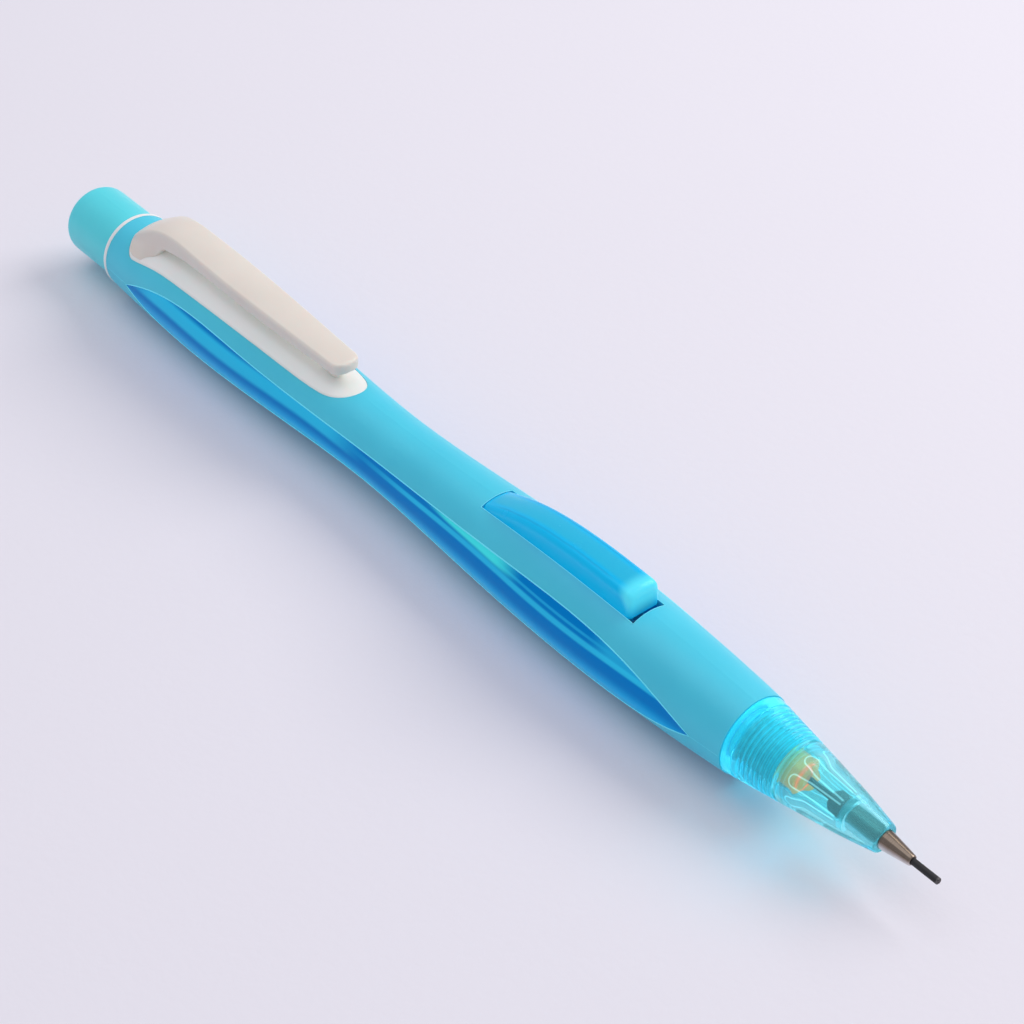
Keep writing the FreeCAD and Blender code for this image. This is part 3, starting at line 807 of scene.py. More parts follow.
@dataclass(frozen=True)
class ClearTint:
    """Clear tinted plastic with painted glow on its collar, ribs and bore step, painted glints
    along its inner flutes, and a shadow that keeps its colour.
    """

    name: str
    colour: Colour
    shadow: Colour
    strong: Colour = (0.16, 0.86, 1.0)
    # glow and painted_glint are colours of painted light, emitted at strength.
    glow: Colour = (0.0, 0.225, 0.306)
    painted_glint: Colour = (0.45, 0.80, 0.85)
    collar: tuple[float, float] = (120.2, 121.5)
    ribs: tuple[float, float, float] = (122.15, 126.83, 0.52)
    wall: tuple[float, float] = (0.1606, 0.1268)
    flute_rear: float = 0.12775
    roughness: float = 0.03
    transmission: float = 0.84
    strength: float = 0.6

    def make(self) -> Material:
        """Build the material."""
        paint = Paint(self.name)
        cloud = paint.noise(260.0, 2.0)
        x, side, height = paint.axes()
        start, end, pitch = self.ribs
        crest = 0.5 + 0.5 * ((x - start * MM) * (2000.0 * math.pi / pitch) + math.pi / 2).sine()
        # Painted glow on the collar, the rib crests and the bore's step, and faintly everywhere.
        painted_glow = x.band(self.collar[0] * MM, self.collar[1] * MM, 0.0001)
        painted_glow = painted_glow * 1.1 + x.band(start * MM, end * MM, 0.0002) * (0.08 + 1.3 * crest ** 4.0)
        size = (side * side + height * height) ** 0.5
        step = (1.0 - size.step(0.00145, 0.00165)) * x.band(0.1329, 0.1336, 0.00008)
        painted_glow = painted_glow + 0.05 + 1.6 * step
        taper, wall_rear = self.wall
        inside = 1.0 - (size + taper * (x - wall_rear)).step(0.00300, 0.00310)
        # Painted glints along the borders of the flutes inside.
        behind = self.flute_rear - x
        behind = (abs(behind) + behind) * 0.5
        brim_glint = 0.0 * x
        for turn in (0.0, math.pi / 3, 2 * math.pi / 3):
            across = side * math.cos(turn) - height * math.sin(turn)
            border = (across * across + behind * behind) ** 0.5
            brim_glint = brim_glint + border.band(0.00050, 0.00064, 0.00004)
        brim_glint = brim_glint * inside * x.band(0.1270, 0.1326, 0.0001)
        base = paint.mix(cloud.step(0.2, 0.8), tuple(0.93 * c for c in self.colour), self.colour)
        paint.dress(
            Base_Color=paint.mix(x.band(self.collar[0] * MM, end * MM, 0.0003), base, self.strong),
            Roughness=self.roughness + 0.03 * cloud,
            IOR=1.33,
            Transmission_Weight=self.transmission,
            Specular_Tint=(0.5, 0.95, 1.0),
            Emission_Color=paint.mix(brim_glint, paint.mix(painted_glow, (0.0, 0.0, 0.0), self.glow), self.painted_glint),
            Emission_Strength=self.strength,
            Normal=paint.bump(cloud, 0.006, 0.5),
        )
        return paint.pass_light(self.shadow)


@dataclass(frozen=True)
class LitLever:
    """Translucent lever plastic with painted light: a brighter front and sides, a greyer painted
    sheen on its crown, painted shade along its hollow and a painted glow.
    """

    name: str
    colour: Colour = (0.0, 0.38, 0.66)
    crown_sheen: Colour = (0.02, 0.36, 0.53)
    front: Colour = (0.08, 0.60, 0.74)
    front_from: float = 102.6
    wall: float = 1.42
    glow: float = 0.36

    def make(self) -> Material:
        """Build the material."""
        paint = Paint(self.name)
        x, side, height = paint.axes()
        cloud = paint.noise(420.0, 3.0)
        half = abs(side) + 0.00016 * (cloud - 0.5)
        # Painted sheen: the middle of the crown is greyer.
        crown_sheen = (1.0 - half.step(0.0007, 0.0013)) * height.step(0.0050, 0.0056)
        base = paint.mix(crown_sheen * 0.7, self.colour, self.crown_sheen)
        # Painted shade along the edges of the hollow inside.
        cavity_shade = half.band((self.wall - 0.12) * MM, (self.wall + 0.1) * MM, 0.0001)
        length = x.band(0.0835, 0.1012, 0.0012)
        base = paint.mix(cavity_shade * length * 0.45, base, (0.0, 0.22, 0.46))
        # Painted light: the front is brighter.
        slant = x + 0.7 * (height - 0.0072)
        ahead = slant.step(self.front_from * MM, (self.front_from + 1.6) * MM)
        base = paint.mix(ahead, base, self.front)
        return paint.dress(
            Base_Color=base,
            Roughness=0.16 + 0.16 * cloud,
            IOR=1.45,
            Specular_Tint=(0.4, 0.95, 1.0),
            Subsurface_Weight=0.4,
            Subsurface_Radius=(0.2, 0.9, 1.0),
            Subsurface_Scale=1.2 * MM,
            # Painted glow.
            Emission_Color=base,
            Emission_Strength=self.glow,
            Normal=paint.bump(cloud, 0.01, 0.5),
        )


@dataclass(frozen=True)
class TurnedMetal:
    """Metal with fine lathe marks round the pencil's axis, an optional painted reflection on its
    upper face and an optional painted glow.
    """

    name: str
    colour: Colour
    dark: Colour
    roughness: float = 0.18
    marks: float = 9000.0
    top: Colour | None = None
    glow: Colour = (0.0, 0.0, 0.0)

    def make(self) -> Material:
        """Build the material."""
        paint = Paint(self.name)
        _, side, height = paint.axes()
        lines = paint.noise(1.0, 2.0, (self.marks, 300.0, 300.0))
        cloud = paint.noise(700.0, 3.0)
        base = paint.mix(cloud.step(0.3, 0.8), self.colour, self.dark)
        # Painted reflection: the upper face turns to the top colour, as if reflecting a dark room.
        if self.top is not None:
            top_reflection = (height / (abs(side) + 0.0003)).step(-0.15, 0.35)
            base = paint.mix(top_reflection * (0.8 + 0.2 * lines), base, self.top)
        return paint.dress(
            Base_Color=base,
            Metallic=1.0,
            # Painted glow in the glow colour, black unless given.
            Emission_Color=self.glow,
            Emission_Strength=1.0,
            Roughness=self.roughness + 0.10 * (lines - 0.5) + 0.08 * (cloud - 0.5),
            Normal=paint.bump(lines, 0.002, 0.3),
        )


@dataclass(frozen=True)
class Graphite:
    """Dull polymer-bonded lead with a worn grey point."""

    name: str
    worn_from: float

    def make(self) -> Material:
        """Build the material."""
        paint = Paint(self.name)
        x, _, _ = paint.axes()
        grain = paint.noise(6000.0, 3.0)
        streaks = paint.noise(1.0, 2.0, (500.0, 5000.0, 5000.0))
        black = paint.mix(streaks, (0.006, 0.006, 0.007), (0.025, 0.025, 0.028))
        worn = x.step(self.worn_from * MM, (self.worn_from + 0.35) * MM) * grain.step(0.3, 0.6)
        return paint.dress(
            Base_Color=paint.mix(worn, black, (0.13, 0.12, 0.12)),
            Roughness=0.48 + 0.15 * grain,
            Metallic=0.15,
            Normal=paint.bump(grain, 0.012),
        )


@dataclass(frozen=True)
class ThreadedSleeve:
    """Grey plastic with pale and dark bands painted along its moulded thread as the thread's light
    and shade.
    """

    name: str
    pitch: float = 0.5

    def make(self) -> Material:
        """Build the material."""
        paint = Paint(self.name)
        x, _, _ = paint.axes()
        # Painted light and shade along the thread: its crests take a greener tint, and the same
        # wave makes the bump.
        ridge = 0.5 + 0.5 * (x * (2000.0 * math.pi / self.pitch)).sine()
        speck = paint.noise(1700.0, 2.0)
        tone = paint.mix(speck.step(0.36, 0.66), (0.39, 0.44, 0.44), (0.62, 0.62, 0.56))
        return paint.dress(
            Base_Color=paint.mix(ridge * 0.5, tone, (0.40, 0.60, 0.62)),
            Roughness=0.35 + 0.2 * speck,
            Normal=paint.bump(ridge, 0.08),
        )


@dataclass(frozen=True)
class Paper:
    """Pale paper that the pencil lies on."""

    name: str = "paper"
    colour: Colour = (0.80, 0.775, 0.84)

    def make(self) -> Material:
        """Build the material."""
        paint = Paint(self.name)
        fibre = paint.noise(900.0, 5.0)
        cloud = paint.noise(7.0, 2.0)
        pale = tuple(min(1.0, 1.03 * c) for c in self.colour)
        return paint.dress(
            Base_Color=paint.mix(cloud, self.colour, pale),
            Roughness=0.75 + 0.1 * fibre,
            Specular_IOR_Level=0.2,
            Normal=paint.bump(fibre, 0.06, 0.5),
        )


Finish = (
    SoftPlastic | TintedWindow | ClearTint | LitLever | TurnedMetal | Graphite | ThreadedSleeve
)


def finished(finish: Finish) -> Material:
    """A palette's field, which holds the finish's material once the palette is made."""
    return field(default_factory=finish.make)


@dataclass(frozen=True)
class Palette:
    """Every finish on the pencil, made once."""

    skin: Material = finished(SoftPlastic(
        "sky_skin", (0.066, 0.64, 0.83), (0.060, 0.61, 0.80)))
    # Painted highlight: lighter than the skin and given a painted glow, for the pale rims of the
    # windows and slot and for the mould seams.
    lip: Material = finished(SoftPlastic(
        "sky_lip", (0.14, 0.74, 0.90), (0.12, 0.70, 0.88), roughness=0.35, painted_glow=0.22))
    cap: Material = finished(SoftPlastic(
        "cap_blue", (0.10, 0.75, 0.84), (0.09, 0.72, 0.81), roughness=0.34))
    white: Material = finished(SoftPlastic(
        "cream_white", (0.80, 0.735, 0.66), (0.775, 0.71, 0.635), roughness=0.3, glow=0.4))
    # Painted light: brighter and cooler than the clip arm's white, with a painted glow, to lighten
    # the shade under the arm.
    panel: Material = finished(SoftPlastic(
        "panel_white", (0.88, 0.94, 0.89), (0.85, 0.91, 0.86), roughness=0.22, glow=0.5,
        reach_mm=1.2, painted_glow=0.06))
    ring: Material = finished(SoftPlastic(
        "ring_white", (0.90, 0.93, 0.92), (0.88, 0.91, 0.90), roughness=0.3, glow=0.4))
    window: Material = finished(TintedWindow("window_blue"))
    button: Material = finished(LitLever("button_cyan"))
    cone: Material = finished(ClearTint(
        "cone_clear", (0.38, 0.94, 1.0), (0.28, 0.88, 0.97)))
    # Nickel's top colour is a painted dark reflection on the nozzle's upper face.
    nickel: Material = finished(TurnedMetal(
        "nickel", (0.74, 0.69, 0.69), (0.58, 0.52, 0.50), top=(0.17, 0.125, 0.085)))
    # Brass gets a strong orange painted glow, which makes the yellow seen through the cone's
    # flutes.
    brass: Material = finished(TurnedMetal(
        "brass", (1.0, 0.42, 0.06), (0.80, 0.30, 0.03), roughness=0.3, glow=(0.8, 0.16, 0.0)))
    steel: Material = finished(TurnedMetal(
        "spring_steel", (0.62, 0.61, 0.60), (0.45, 0.45, 0.45), roughness=0.28))
    tin: Material = finished(TurnedMetal(
        "ferrule_tin", (0.80, 0.80, 0.80), (0.65, 0.65, 0.66), roughness=0.32))
    lead: Material = finished(Graphite("graphite", 143.6))
    rubber: Material = finished(SoftPlastic(
        "retainer_rubber", (0.035, 0.037, 0.04), (0.025, 0.027, 0.03), roughness=0.55,
        glow=0.0))
    eraser: Material = finished(SoftPlastic(
        "eraser_white", (0.86, 0.86, 0.84), (0.82, 0.82, 0.80), roughness=0.75, glow=0.3))
    milky: Material = finished(SoftPlastic(
        "tube_milky", (0.74, 0.79, 0.80), (0.70, 0.76, 0.78), roughness=0.35, glow=0.5))
    sleeve: Material = finished(ThreadedSleeve("sleeve_grey"))


# --- sub-assemblies -------------------------------------------------------------------


def settle(piece: Object, body: Body, slot: str, *nodes: str) -> Object:
    """Let a made piece ride on its body and stand for CAD nodes.

    Args:
        piece: The finished piece.
        body: The body that it moves with.
        slot: A material slot's name; not used.
        nodes: The CAD nodes that it stands for.

    Returns:
        The piece.
    """
    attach(piece, body.value)
    if nodes:
        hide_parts(*nodes)
    LOG.info("%s: %d faces", piece.name, len(piece.data.polygons))
    return piece


def coat(node: str, finish: Material) -> None:
    """Give a CAD node a finish."""
    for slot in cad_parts[node].material_slots:
        slot.material = finish
    LOG.info("%s: %s", node, finish.name)


class Openings:
    """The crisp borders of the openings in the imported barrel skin, as loops of points."""

    def __init__(self, node: str = "barrel_shell", crease_deg: float = 50.0) -> None:
        """Find the loops.

        Args:
            node: The CAD node with the openings.
            crease_deg: Least turn of a border edge.
        """
        work = bmesh.new()
        work.from_mesh(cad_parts[node].data)
        bmesh.ops.remove_doubles(work, verts=work.verts, dist=1e-7)
        crease = math.radians(crease_deg)
        links: dict[int, list[int]] = {}
        places = {v.index: LAYOUT.millimetres(np.array(v.co)) for v in work.verts}
        for edge in work.edges:
            if len(edge.link_faces) == 2 and edge.calc_face_angle(0.0) > crease:
                a, b = (v.index for v in edge.verts)
                if self._outside(places[a]) and self._outside(places[b]):
                    links.setdefault(a, []).append(b)
                    links.setdefault(b, []).append(a)
        work.free()
        self.loops = [np.array([places[i] for i in loop]) for loop in self._walk(links)]

    @staticmethod
    def _outside(place: np.ndarray) -> bool:
        """True for a point on the skin's outer face."""
        return math.hypot(place[1], place[2]) > LEAST_SKIN_RADIUS

    @staticmethod
    def _walk(links: dict[int, list[int]]) -> list[list[int]]:
        """Follow the edges round each loop."""
        loops, seen = [], set()
        for start in sorted(links):
            if start in seen:
                continue
            loop, here = [start], start
            seen.add(start)
            while True:
                ahead = [n for n in links[here] if n not in seen]
                if not ahead:
                    break
                here = ahead[0]
                seen.add(here)
                loop.append(here)
            loops.append(loop)
        return loops

    def long_loops(self) -> list[np.ndarray]:
        """The long loops: the windows, the clip's panel and pieces of other borders."""
        return [loop for loop in self.loops if np.ptp(loop[:, 0]) > SHORTEST_OPENING]

    def windows(self) -> list[np.ndarray]:
        """The loops of the two side windows."""
        return [loop for loop in self.loops if np.ptp(loop[:, 0]) > SHORTEST_WINDOW]

    def panel(self) -> np.ndarray:
        """The loop of the clip's panel."""
        middle = [loop for loop in self.long_loops() if abs(loop[:, 1].mean()) < OFF_MIDDLE]
        return next(loop for loop in middle if loop[:, 0].max() < BEHIND_BUTTON)

    def radius(self, station: np.ndarray | float) -> np.ndarray:
        """Outside radius of the barrel at stations."""
        spots = np.concatenate([loop for loop in self.loops if len(loop) > 40])
        spots = spots[np.argsort(spots[:, 0])]
        return np.interp(station, spots[:, 0], np.hypot(spots[:, 1], spots[:, 2]))

    def on_skin(self, stations: np.ndarray, sides: np.ndarray) -> np.ndarray:
        """Points on top of the skin above places in plan.

        Args:
            stations: Distance of each from the cap's rear end.
            sides: Distance of each from the middle.

        Returns:
            Rows of station, side and height.
        """
        heights = np.sqrt(self.radius(stations) ** 2 - sides**2)
        return np.stack([stations, sides, heights], axis=-1)

    def slot(self, rear: float, front: float, half: float) -> np.ndarray:
        """The border of the button's slot.

        Args:
            rear: Station of its rear end.
            front: Station of its front end.
            half: Half its width.

        Returns:
            The border's points.
        """
        steps, ends = 40, 8
        along = np.linspace(rear, front, steps)
        across = np.linspace(-half, half, ends + 2)[1:-1]
        stations = [along, np.full(ends, front), along[::-1], np.full(ends, rear)]
        sides = [np.full(steps, -half), across, np.full(steps, half), across[::-1]]
        stations, sides = np.concatenate(stations), np.concatenate(sides)
        return self.on_skin(stations, sides)


@dataclass
class Barrel:
    """The two-colour barrel: skin, side windows and the fine lips round its openings."""

    palette: Palette
    openings: Openings
    lip_radius: float = 0.07
    slot_lip_radius: float = 0.045
    mould_line_radius: float = 0.02
    slot_rear: float = 81.43
    slot_front: float = 105.2
    slot_half: float = 2.12
    seam_spans: tuple[tuple[float, float], ...] = ((10.7, 15.4), (116.5, 120.1))

    def build(self) -> None:
        """Lay the lips round the windows and the slot."""
        windows = self.openings.windows()
        lips = Bead("window_lips", self.lip_radius).lay(windows, True, self.palette.lip)
        settle(lips, Body.BARREL, "skin_blue")
        border = self.openings.slot(self.slot_rear, self.slot_front, self.slot_half)
        rim = Bead("slot_lip", self.slot_lip_radius).lay([border], True, self.palette.lip)
        settle(rim, Body.BARREL, "skin_blue")
        seams = [
            self._seam(rear, front, hand) for rear, front in self.seam_spans for hand in (-1, 1)]
        line = Bead("mould_seams", self.mould_line_radius).lay(seams, False, self.palette.lip)
        settle(line, Body.BARREL, "skin_blue")

    def _seam(self, rear: float, front: float, hand: int) -> np.ndarray:
        """A straight mould seam along one side of the skin.

        Args:
            rear: Station of its rear end.
            front: Station of its front end.
            hand: -1 for the near side, 1 for the far side.

        Returns:
            Points along it.
        """
        stations = np.linspace(rear, front, 30)
        sides = hand * (self.openings.radius(stations) - 0.005)
        return np.stack([stations, sides, np.zeros(30)], axis=-1)

    def dress(self) -> None:
        """Give the skin and the clear inner barrel their finishes."""
        coat("barrel_shell", self.palette.skin)
        coat("window_liner", self.palette.window)


@dataclass
class Tail:
    """Cap, ring, eraser and ferrule."""

    palette: Palette

    def dress(self) -> None:
        """Give the tail's pieces their finishes."""
        coat("rear_cap", self.palette.cap)
        coat("tail_ring", self.palette.ring)
        coat("eraser", self.palette.eraser)
        coat("eraser_ferrule", self.palette.tin)


@dataclass
class Clip:
    """The panel let into the barrel and the springy clip that grows out of it."""

    palette: Palette
    openings: Openings
    panel_gap: float = 0.03
    panel_thickness: float = 0.6
    panel_edge: float = 0.18
    rear: float = 13.45
    tip: float = 55.7
    root_end: float = 19.5
    edge: float = 0.42
    under_edge: float = 0.25
    flare: float = 1.1
    foot_centre: float = 52.7
    foot_half_length: float = 1.9
    foot_gap: float = 0.17
    tip_corner: float = 1.7

    def __post_init__(self) -> None:
        """Draw the clip's guiding curves."""
        loop = self.openings.panel()
        near = loop[loop[:, 1] <= 0]
        self.near_border = near[np.argsort(near[:, 0])]
        rear_height = float(self.openings.radius(13.1))
        self.crest = spline([(13.1, rear_height - 0.35), (14.4, 6.05), (16.4, 7.45), (19.5, 8.78),
                             (26.0, 9.25), (39.6, 8.72), (self.tip, 8.0)])
        self.half = spline([(12.4, 2.25), (15.1, 2.7), (19.5, 2.52), (29.5, 2.45),
                            (54.1, 1.85), (56.0, 1.8)])
        self.under = spline([(18.0, 5.95), (19.5, 6.2), (24.5, 6.95), (37.6, 6.93),
                             (self.tip, 6.57)])

    def build(self) -> None:
        """Make the panel and the clip."""
        panel = loft("clip_panel", self._panel_sections(), 50.0)
        panel.data.materials.append(self.palette.panel)
        settle(panel, Body.BARREL, "white_plastic", "clip_base")
        spring = loft("clip_spring", [self._section(x) for x in self._stations()], 60.0)
        spring.data.materials.append(self.palette.white)
        ends = LAYOUT.metres(np.array([[self.root_end - 0.6, 0, 0], [self.root_end + 4.0, 0, 0]]))
        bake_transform(spring)
        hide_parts("clip_arm")
        LOG.info("%s: %d faces", spring.name, len(spring.data.polygons))

    def _panel_half(self, station: float) -> float:
        """Half the panel's width at a station."""
        return float(np.interp(station, self.near_border[:, 0], -self.near_border[:, 1]))

    def _panel_sections(self) -> list[np.ndarray]:
        """Cross-sections of the panel, from its rear end to its front."""
        loop = self.openings.panel()
        start, end = loop[:, 0].min() + self.panel_gap, loop[:, 0].max() - self.panel_gap
        sections = []
        for x in spaced(start, end, 150):
            half = max(self._panel_half(x) - self.panel_gap, 0.02)
            side = half * np.sin(np.linspace(-1, 1, 45) * math.pi / 2)
            inside = np.minimum(half - np.abs(side), min(x - start, end - x))
            outer = float(self.openings.radius(x)) + 0.02
            top = np.sqrt(outer**2 - side**2) - edge_drop(inside, self.panel_edge)
            low = np.sqrt((outer - self.panel_thickness) ** 2 - side**2)
            station = np.full(45, x)
            upper = np.stack([station, side, top], axis=-1)
            lower = np.stack([station, side, low], axis=-1)[::-1]
            sections.append(np.concatenate([upper, lower]))
        return sections

    def _stations(self) -> np.ndarray:
        """Stations of the clip's sections, closer at the root and the tip."""
        root = np.linspace(self.rear, 23.0, 60, endpoint=False)
        arm = np.linspace(23.0, 49.5, 70, endpoint=False)
        return np.concatenate([root, arm, spaced(49.5, self.tip, 70)])

    def _section(self, x: float) -> np.ndarray:
        """One closed cross-section of the clip.

        Args:
            x: Its station.

        Returns:
            Rows of station, side and height.
        """
        past = max(0.0, (x - self.tip + self.tip_corner) / self.tip_corner)
        border = self._panel_half(x) - 0.22
        half = min(float(self.half(x)) * math.sqrt(max(0.0, 1 - past**2.6)), border - 0.25)
        half = max(half, 0.03)
        fall = float(edge_drop(self.tip - x, 0.55))
        crest = float(self.crest(x)) - fall
        edge = min(self.edge, 0.9 * half)
        skin = float(self.openings.radius(x))
        free = float(smooth(x, self.root_end - 1.9, self.root_end + 1.6))
        sunk = math.sqrt(max(skin**2 - min(half + self.flare, border) ** 2, 1.0)) - 0.12
        low = (1 - free) * sunk + free * (float(self.under(x)) + 0.6 * fall)
        flare = self.flare * (1 - float(smooth(x, self.root_end - 2.6, self.root_end)))
        flare = max(min(flare, border - half), 0.0) if x < self.root_end else 0.0
        top_side = np.linspace(-(half - edge), half - edge, 25)
        top = np.sqrt(crest**2 - top_side**2)
        turn = np.linspace(0.0, math.pi / 2, 7)[1:]
        corner_side = half - edge + edge * np.sin(turn)
        corner_top = top[-1] - edge * (1 - np.cos(turn))
        drop = np.linspace(0.0, 1.0, 14)[1:]
        wall_side = half + flare * drop**2.4
        under_edge = min(self.under_edge, 0.8 * (half + flare))
        wall = corner_top[-1] + (low + under_edge - corner_top[-1]) * drop
        heel = half + flare - under_edge * (1 - np.cos(turn))
        heel_top = low + under_edge * (1 - np.sin(turn))
        base_side = np.linspace(heel[-1], -heel[-1], 21)[1:-1]
        base = np.full(19, low)
        reach = math.sqrt(max(0.0, 1 - ((x - self.foot_centre) / self.foot_half_length) ** 2))
        sole = float(self.openings.radius(self.foot_centre)) + self.foot_gap
        base -= max(0.0, low - sole) * reach * (1 - smooth(np.abs(base_side), 0.75, 1.0))
        right = [corner_side, wall_side, heel]
        right_top = [corner_top, wall, heel_top]
        side = np.concatenate([top_side, *right, base_side, *[-part[::-1] for part in right[::-1]]])
        height = np.concatenate([top, *right_top, base, *[part[::-1] for part in right_top[::-1]]])
        return np.stack([np.full(len(side), x), side, height], axis=-1)


@dataclass
class Button:
    """The side lever: a crowned cover with soft edges, its trunnions and its cam nose."""

    palette: Palette
    openings: Openings
    rear: float = 81.55
    front: float = 104.45
    half: float = 2.05
    crest_height: float = 8.11
    edge: float = 0.8
    nose_edge: float = 0.95
    nose_corner: float = 0.55
    low_rear: float = 3.35
    low_front: float = 4.9
    wall: float = 0.6
    skin: float = 1.45
    front_wall: float = 1.25
    pivot: tuple[float, float] = (83.35, 3.647)
    cam: tuple[float, float] = (98.55, 4.04)
    bar_radius: float = 0.5
    pin_length: float = 0.6
    cam_half: float = 1.1
    cam_rise: float = 2.9

    def build(self) -> None:
        """Make the cover, with its trunnions and cam."""
        flush = float(self.openings.radius(self.rear))
        rise, length = self.crest_height - flush, self.front - self.rear
        shares = [(0.0, 0.0), (0.2, 0.53), (0.45, 0.89), (0.8, 1.0), (1.0, 0.965)]
        crest = spline([(self.rear + a * length, flush + b * rise) for a, b in shares])
        stations = np.concatenate([np.linspace(self.rear, self.front - 2.0, 90, endpoint=False),
                                   spaced(self.front - 2.0, self.front, 40)])
        cover = loft("button_cover", [self._section(x, float(crest(x))) for x in stations], 50.0)
        cover.data.materials.append(self.palette.button)
        settle(cover, Body.BUTTON, "button_cyan", "side_button")
        pins = self._bar("button_trunnions", self.pivot, self.half + self.pin_length)
        settle(pins, Body.BUTTON, "button_cyan", "side_button")
        cam = self._bar("button_cam", self.cam, self.cam_half, self.cam_rise)
        settle(cam, Body.BUTTON, "button_cyan", "side_button")

    def _section(self, x: float, crest: float) -> np.ndarray:
        """One closed cross-section of the cover.

        Args:
            x: Its station.
            crest: Height of the crest there.

        Returns:
            Rows of station, side and height.
        """
        ahead = self.front - x
        half = self.half - float(edge_drop(ahead, self.nose_corner))
        half -= float(edge_drop(x - self.rear, 0.15))
        crest -= float(edge_drop(ahead, self.nose_edge)) + 0.06
        share = (x - self.rear) / (self.front - self.rear)
        low = min(self.low_rear + (self.low_front - self.low_rear) * share, crest - 0.8)
        top_side = np.linspace(-(half - self.edge), half - self.edge, 23)
        top = np.sqrt(crest**2 - top_side**2)
        turn = np.linspace(0.0, math.pi / 2, 8)[1:]
        corner_side = half - self.edge + self.edge * np.sin(turn)
        corner_top = top[-1] - self.edge * (1 - np.cos(turn))
        wall = np.linspace(corner_top[-1], low, 8)[1:]
        wall_side = np.full(7, half)
        inner = half - self.wall
        hollow = self.rear + self.front_wall < x < self.front - self.front_wall
        ceiling = max(low + 0.01, crest - self.skin) if hollow else low
        base_side = np.array([inner, *np.linspace(inner - 0.02, 0.02 - inner, 10), -inner])
        base = np.array([low, *np.full(10, ceiling), low])
        side = np.concatenate([
            top_side, corner_side, wall_side, base_side, -wall_side, -corner_side[::-1]])
        height = np.concatenate([
            top, corner_top, wall, base, wall[::-1], corner_top[::-1]])
        return np.stack([np.full(len(side), x), side, height], axis=-1)

    def _bar(
        self, name: str, centre: tuple[float, float], reach: float, rise: float = 0.0
    ) -> Object:
        """A round bar across the pencil with softened ends, or a plate with a round lower edge.

        Args:
            name: The piece's name.
            centre: Station and height of its axis.
            reach: Half its length.
            rise: How far a plate stands up from the bar.

        Returns:
            The bar.
        """
        turn = np.linspace(0.0, 2 * math.pi, 28, endpoint=False)
        sections = []
        for side in spaced(-reach, reach, 15):
            r = self.bar_radius - float(edge_drop(reach - abs(side), 0.12))
            height = centre[1] + r * np.sin(turn) + rise * (np.sin(turn) > 0.01)
            ring = [centre[0] + r * np.cos(turn), np.full(28, side), height]
            sections.append(np.stack(ring, axis=-1))
        bar = loft(name, sections, 50.0)
        bar.data.materials.append(self.palette.button)
        return bar


@dataclass
class Works:
    """The magazine, chuck, spring and leads."""

    palette: Palette
    spring_rear: float = 101.57
    spring_front: float = 117.5
    spring_turns: float = 9.0
    spring_radius: float = 2.19
    spring_wire: float = 0.17
    travel: float = 1.633

    def build(self) -> None:
        """Wind the return spring."""
        length = self.spring_front - self.spring_rear
        piece = wind(
            "spring_coil", self.spring_rear + self.spring_wire, self.palette.steel,
            Turns=self.spring_turns, Radius=self.spring_radius,
            Length=length - 2 * self.spring_wire, Wire=self.spring_wire)
        settle(piece, Body.BARREL, "spring_steel", "return_spring")
        anchor = LAYOUT.metres(np.array([self.spring_front, 0.0, 0.0]))
        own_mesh(piece)

    def dress(self) -> None:
        """Give the works their finishes."""
        for node in ("lead_tube", "tube_joint", "cam_slider"):
            coat(node, self.palette.milky)
        coat("spare_leads", self.palette.lead)
        for node in ("chuck", "clutch_ring"):
            coat(node, self.palette.brass)
        coat("front_sleeve", self.palette.sleeve)


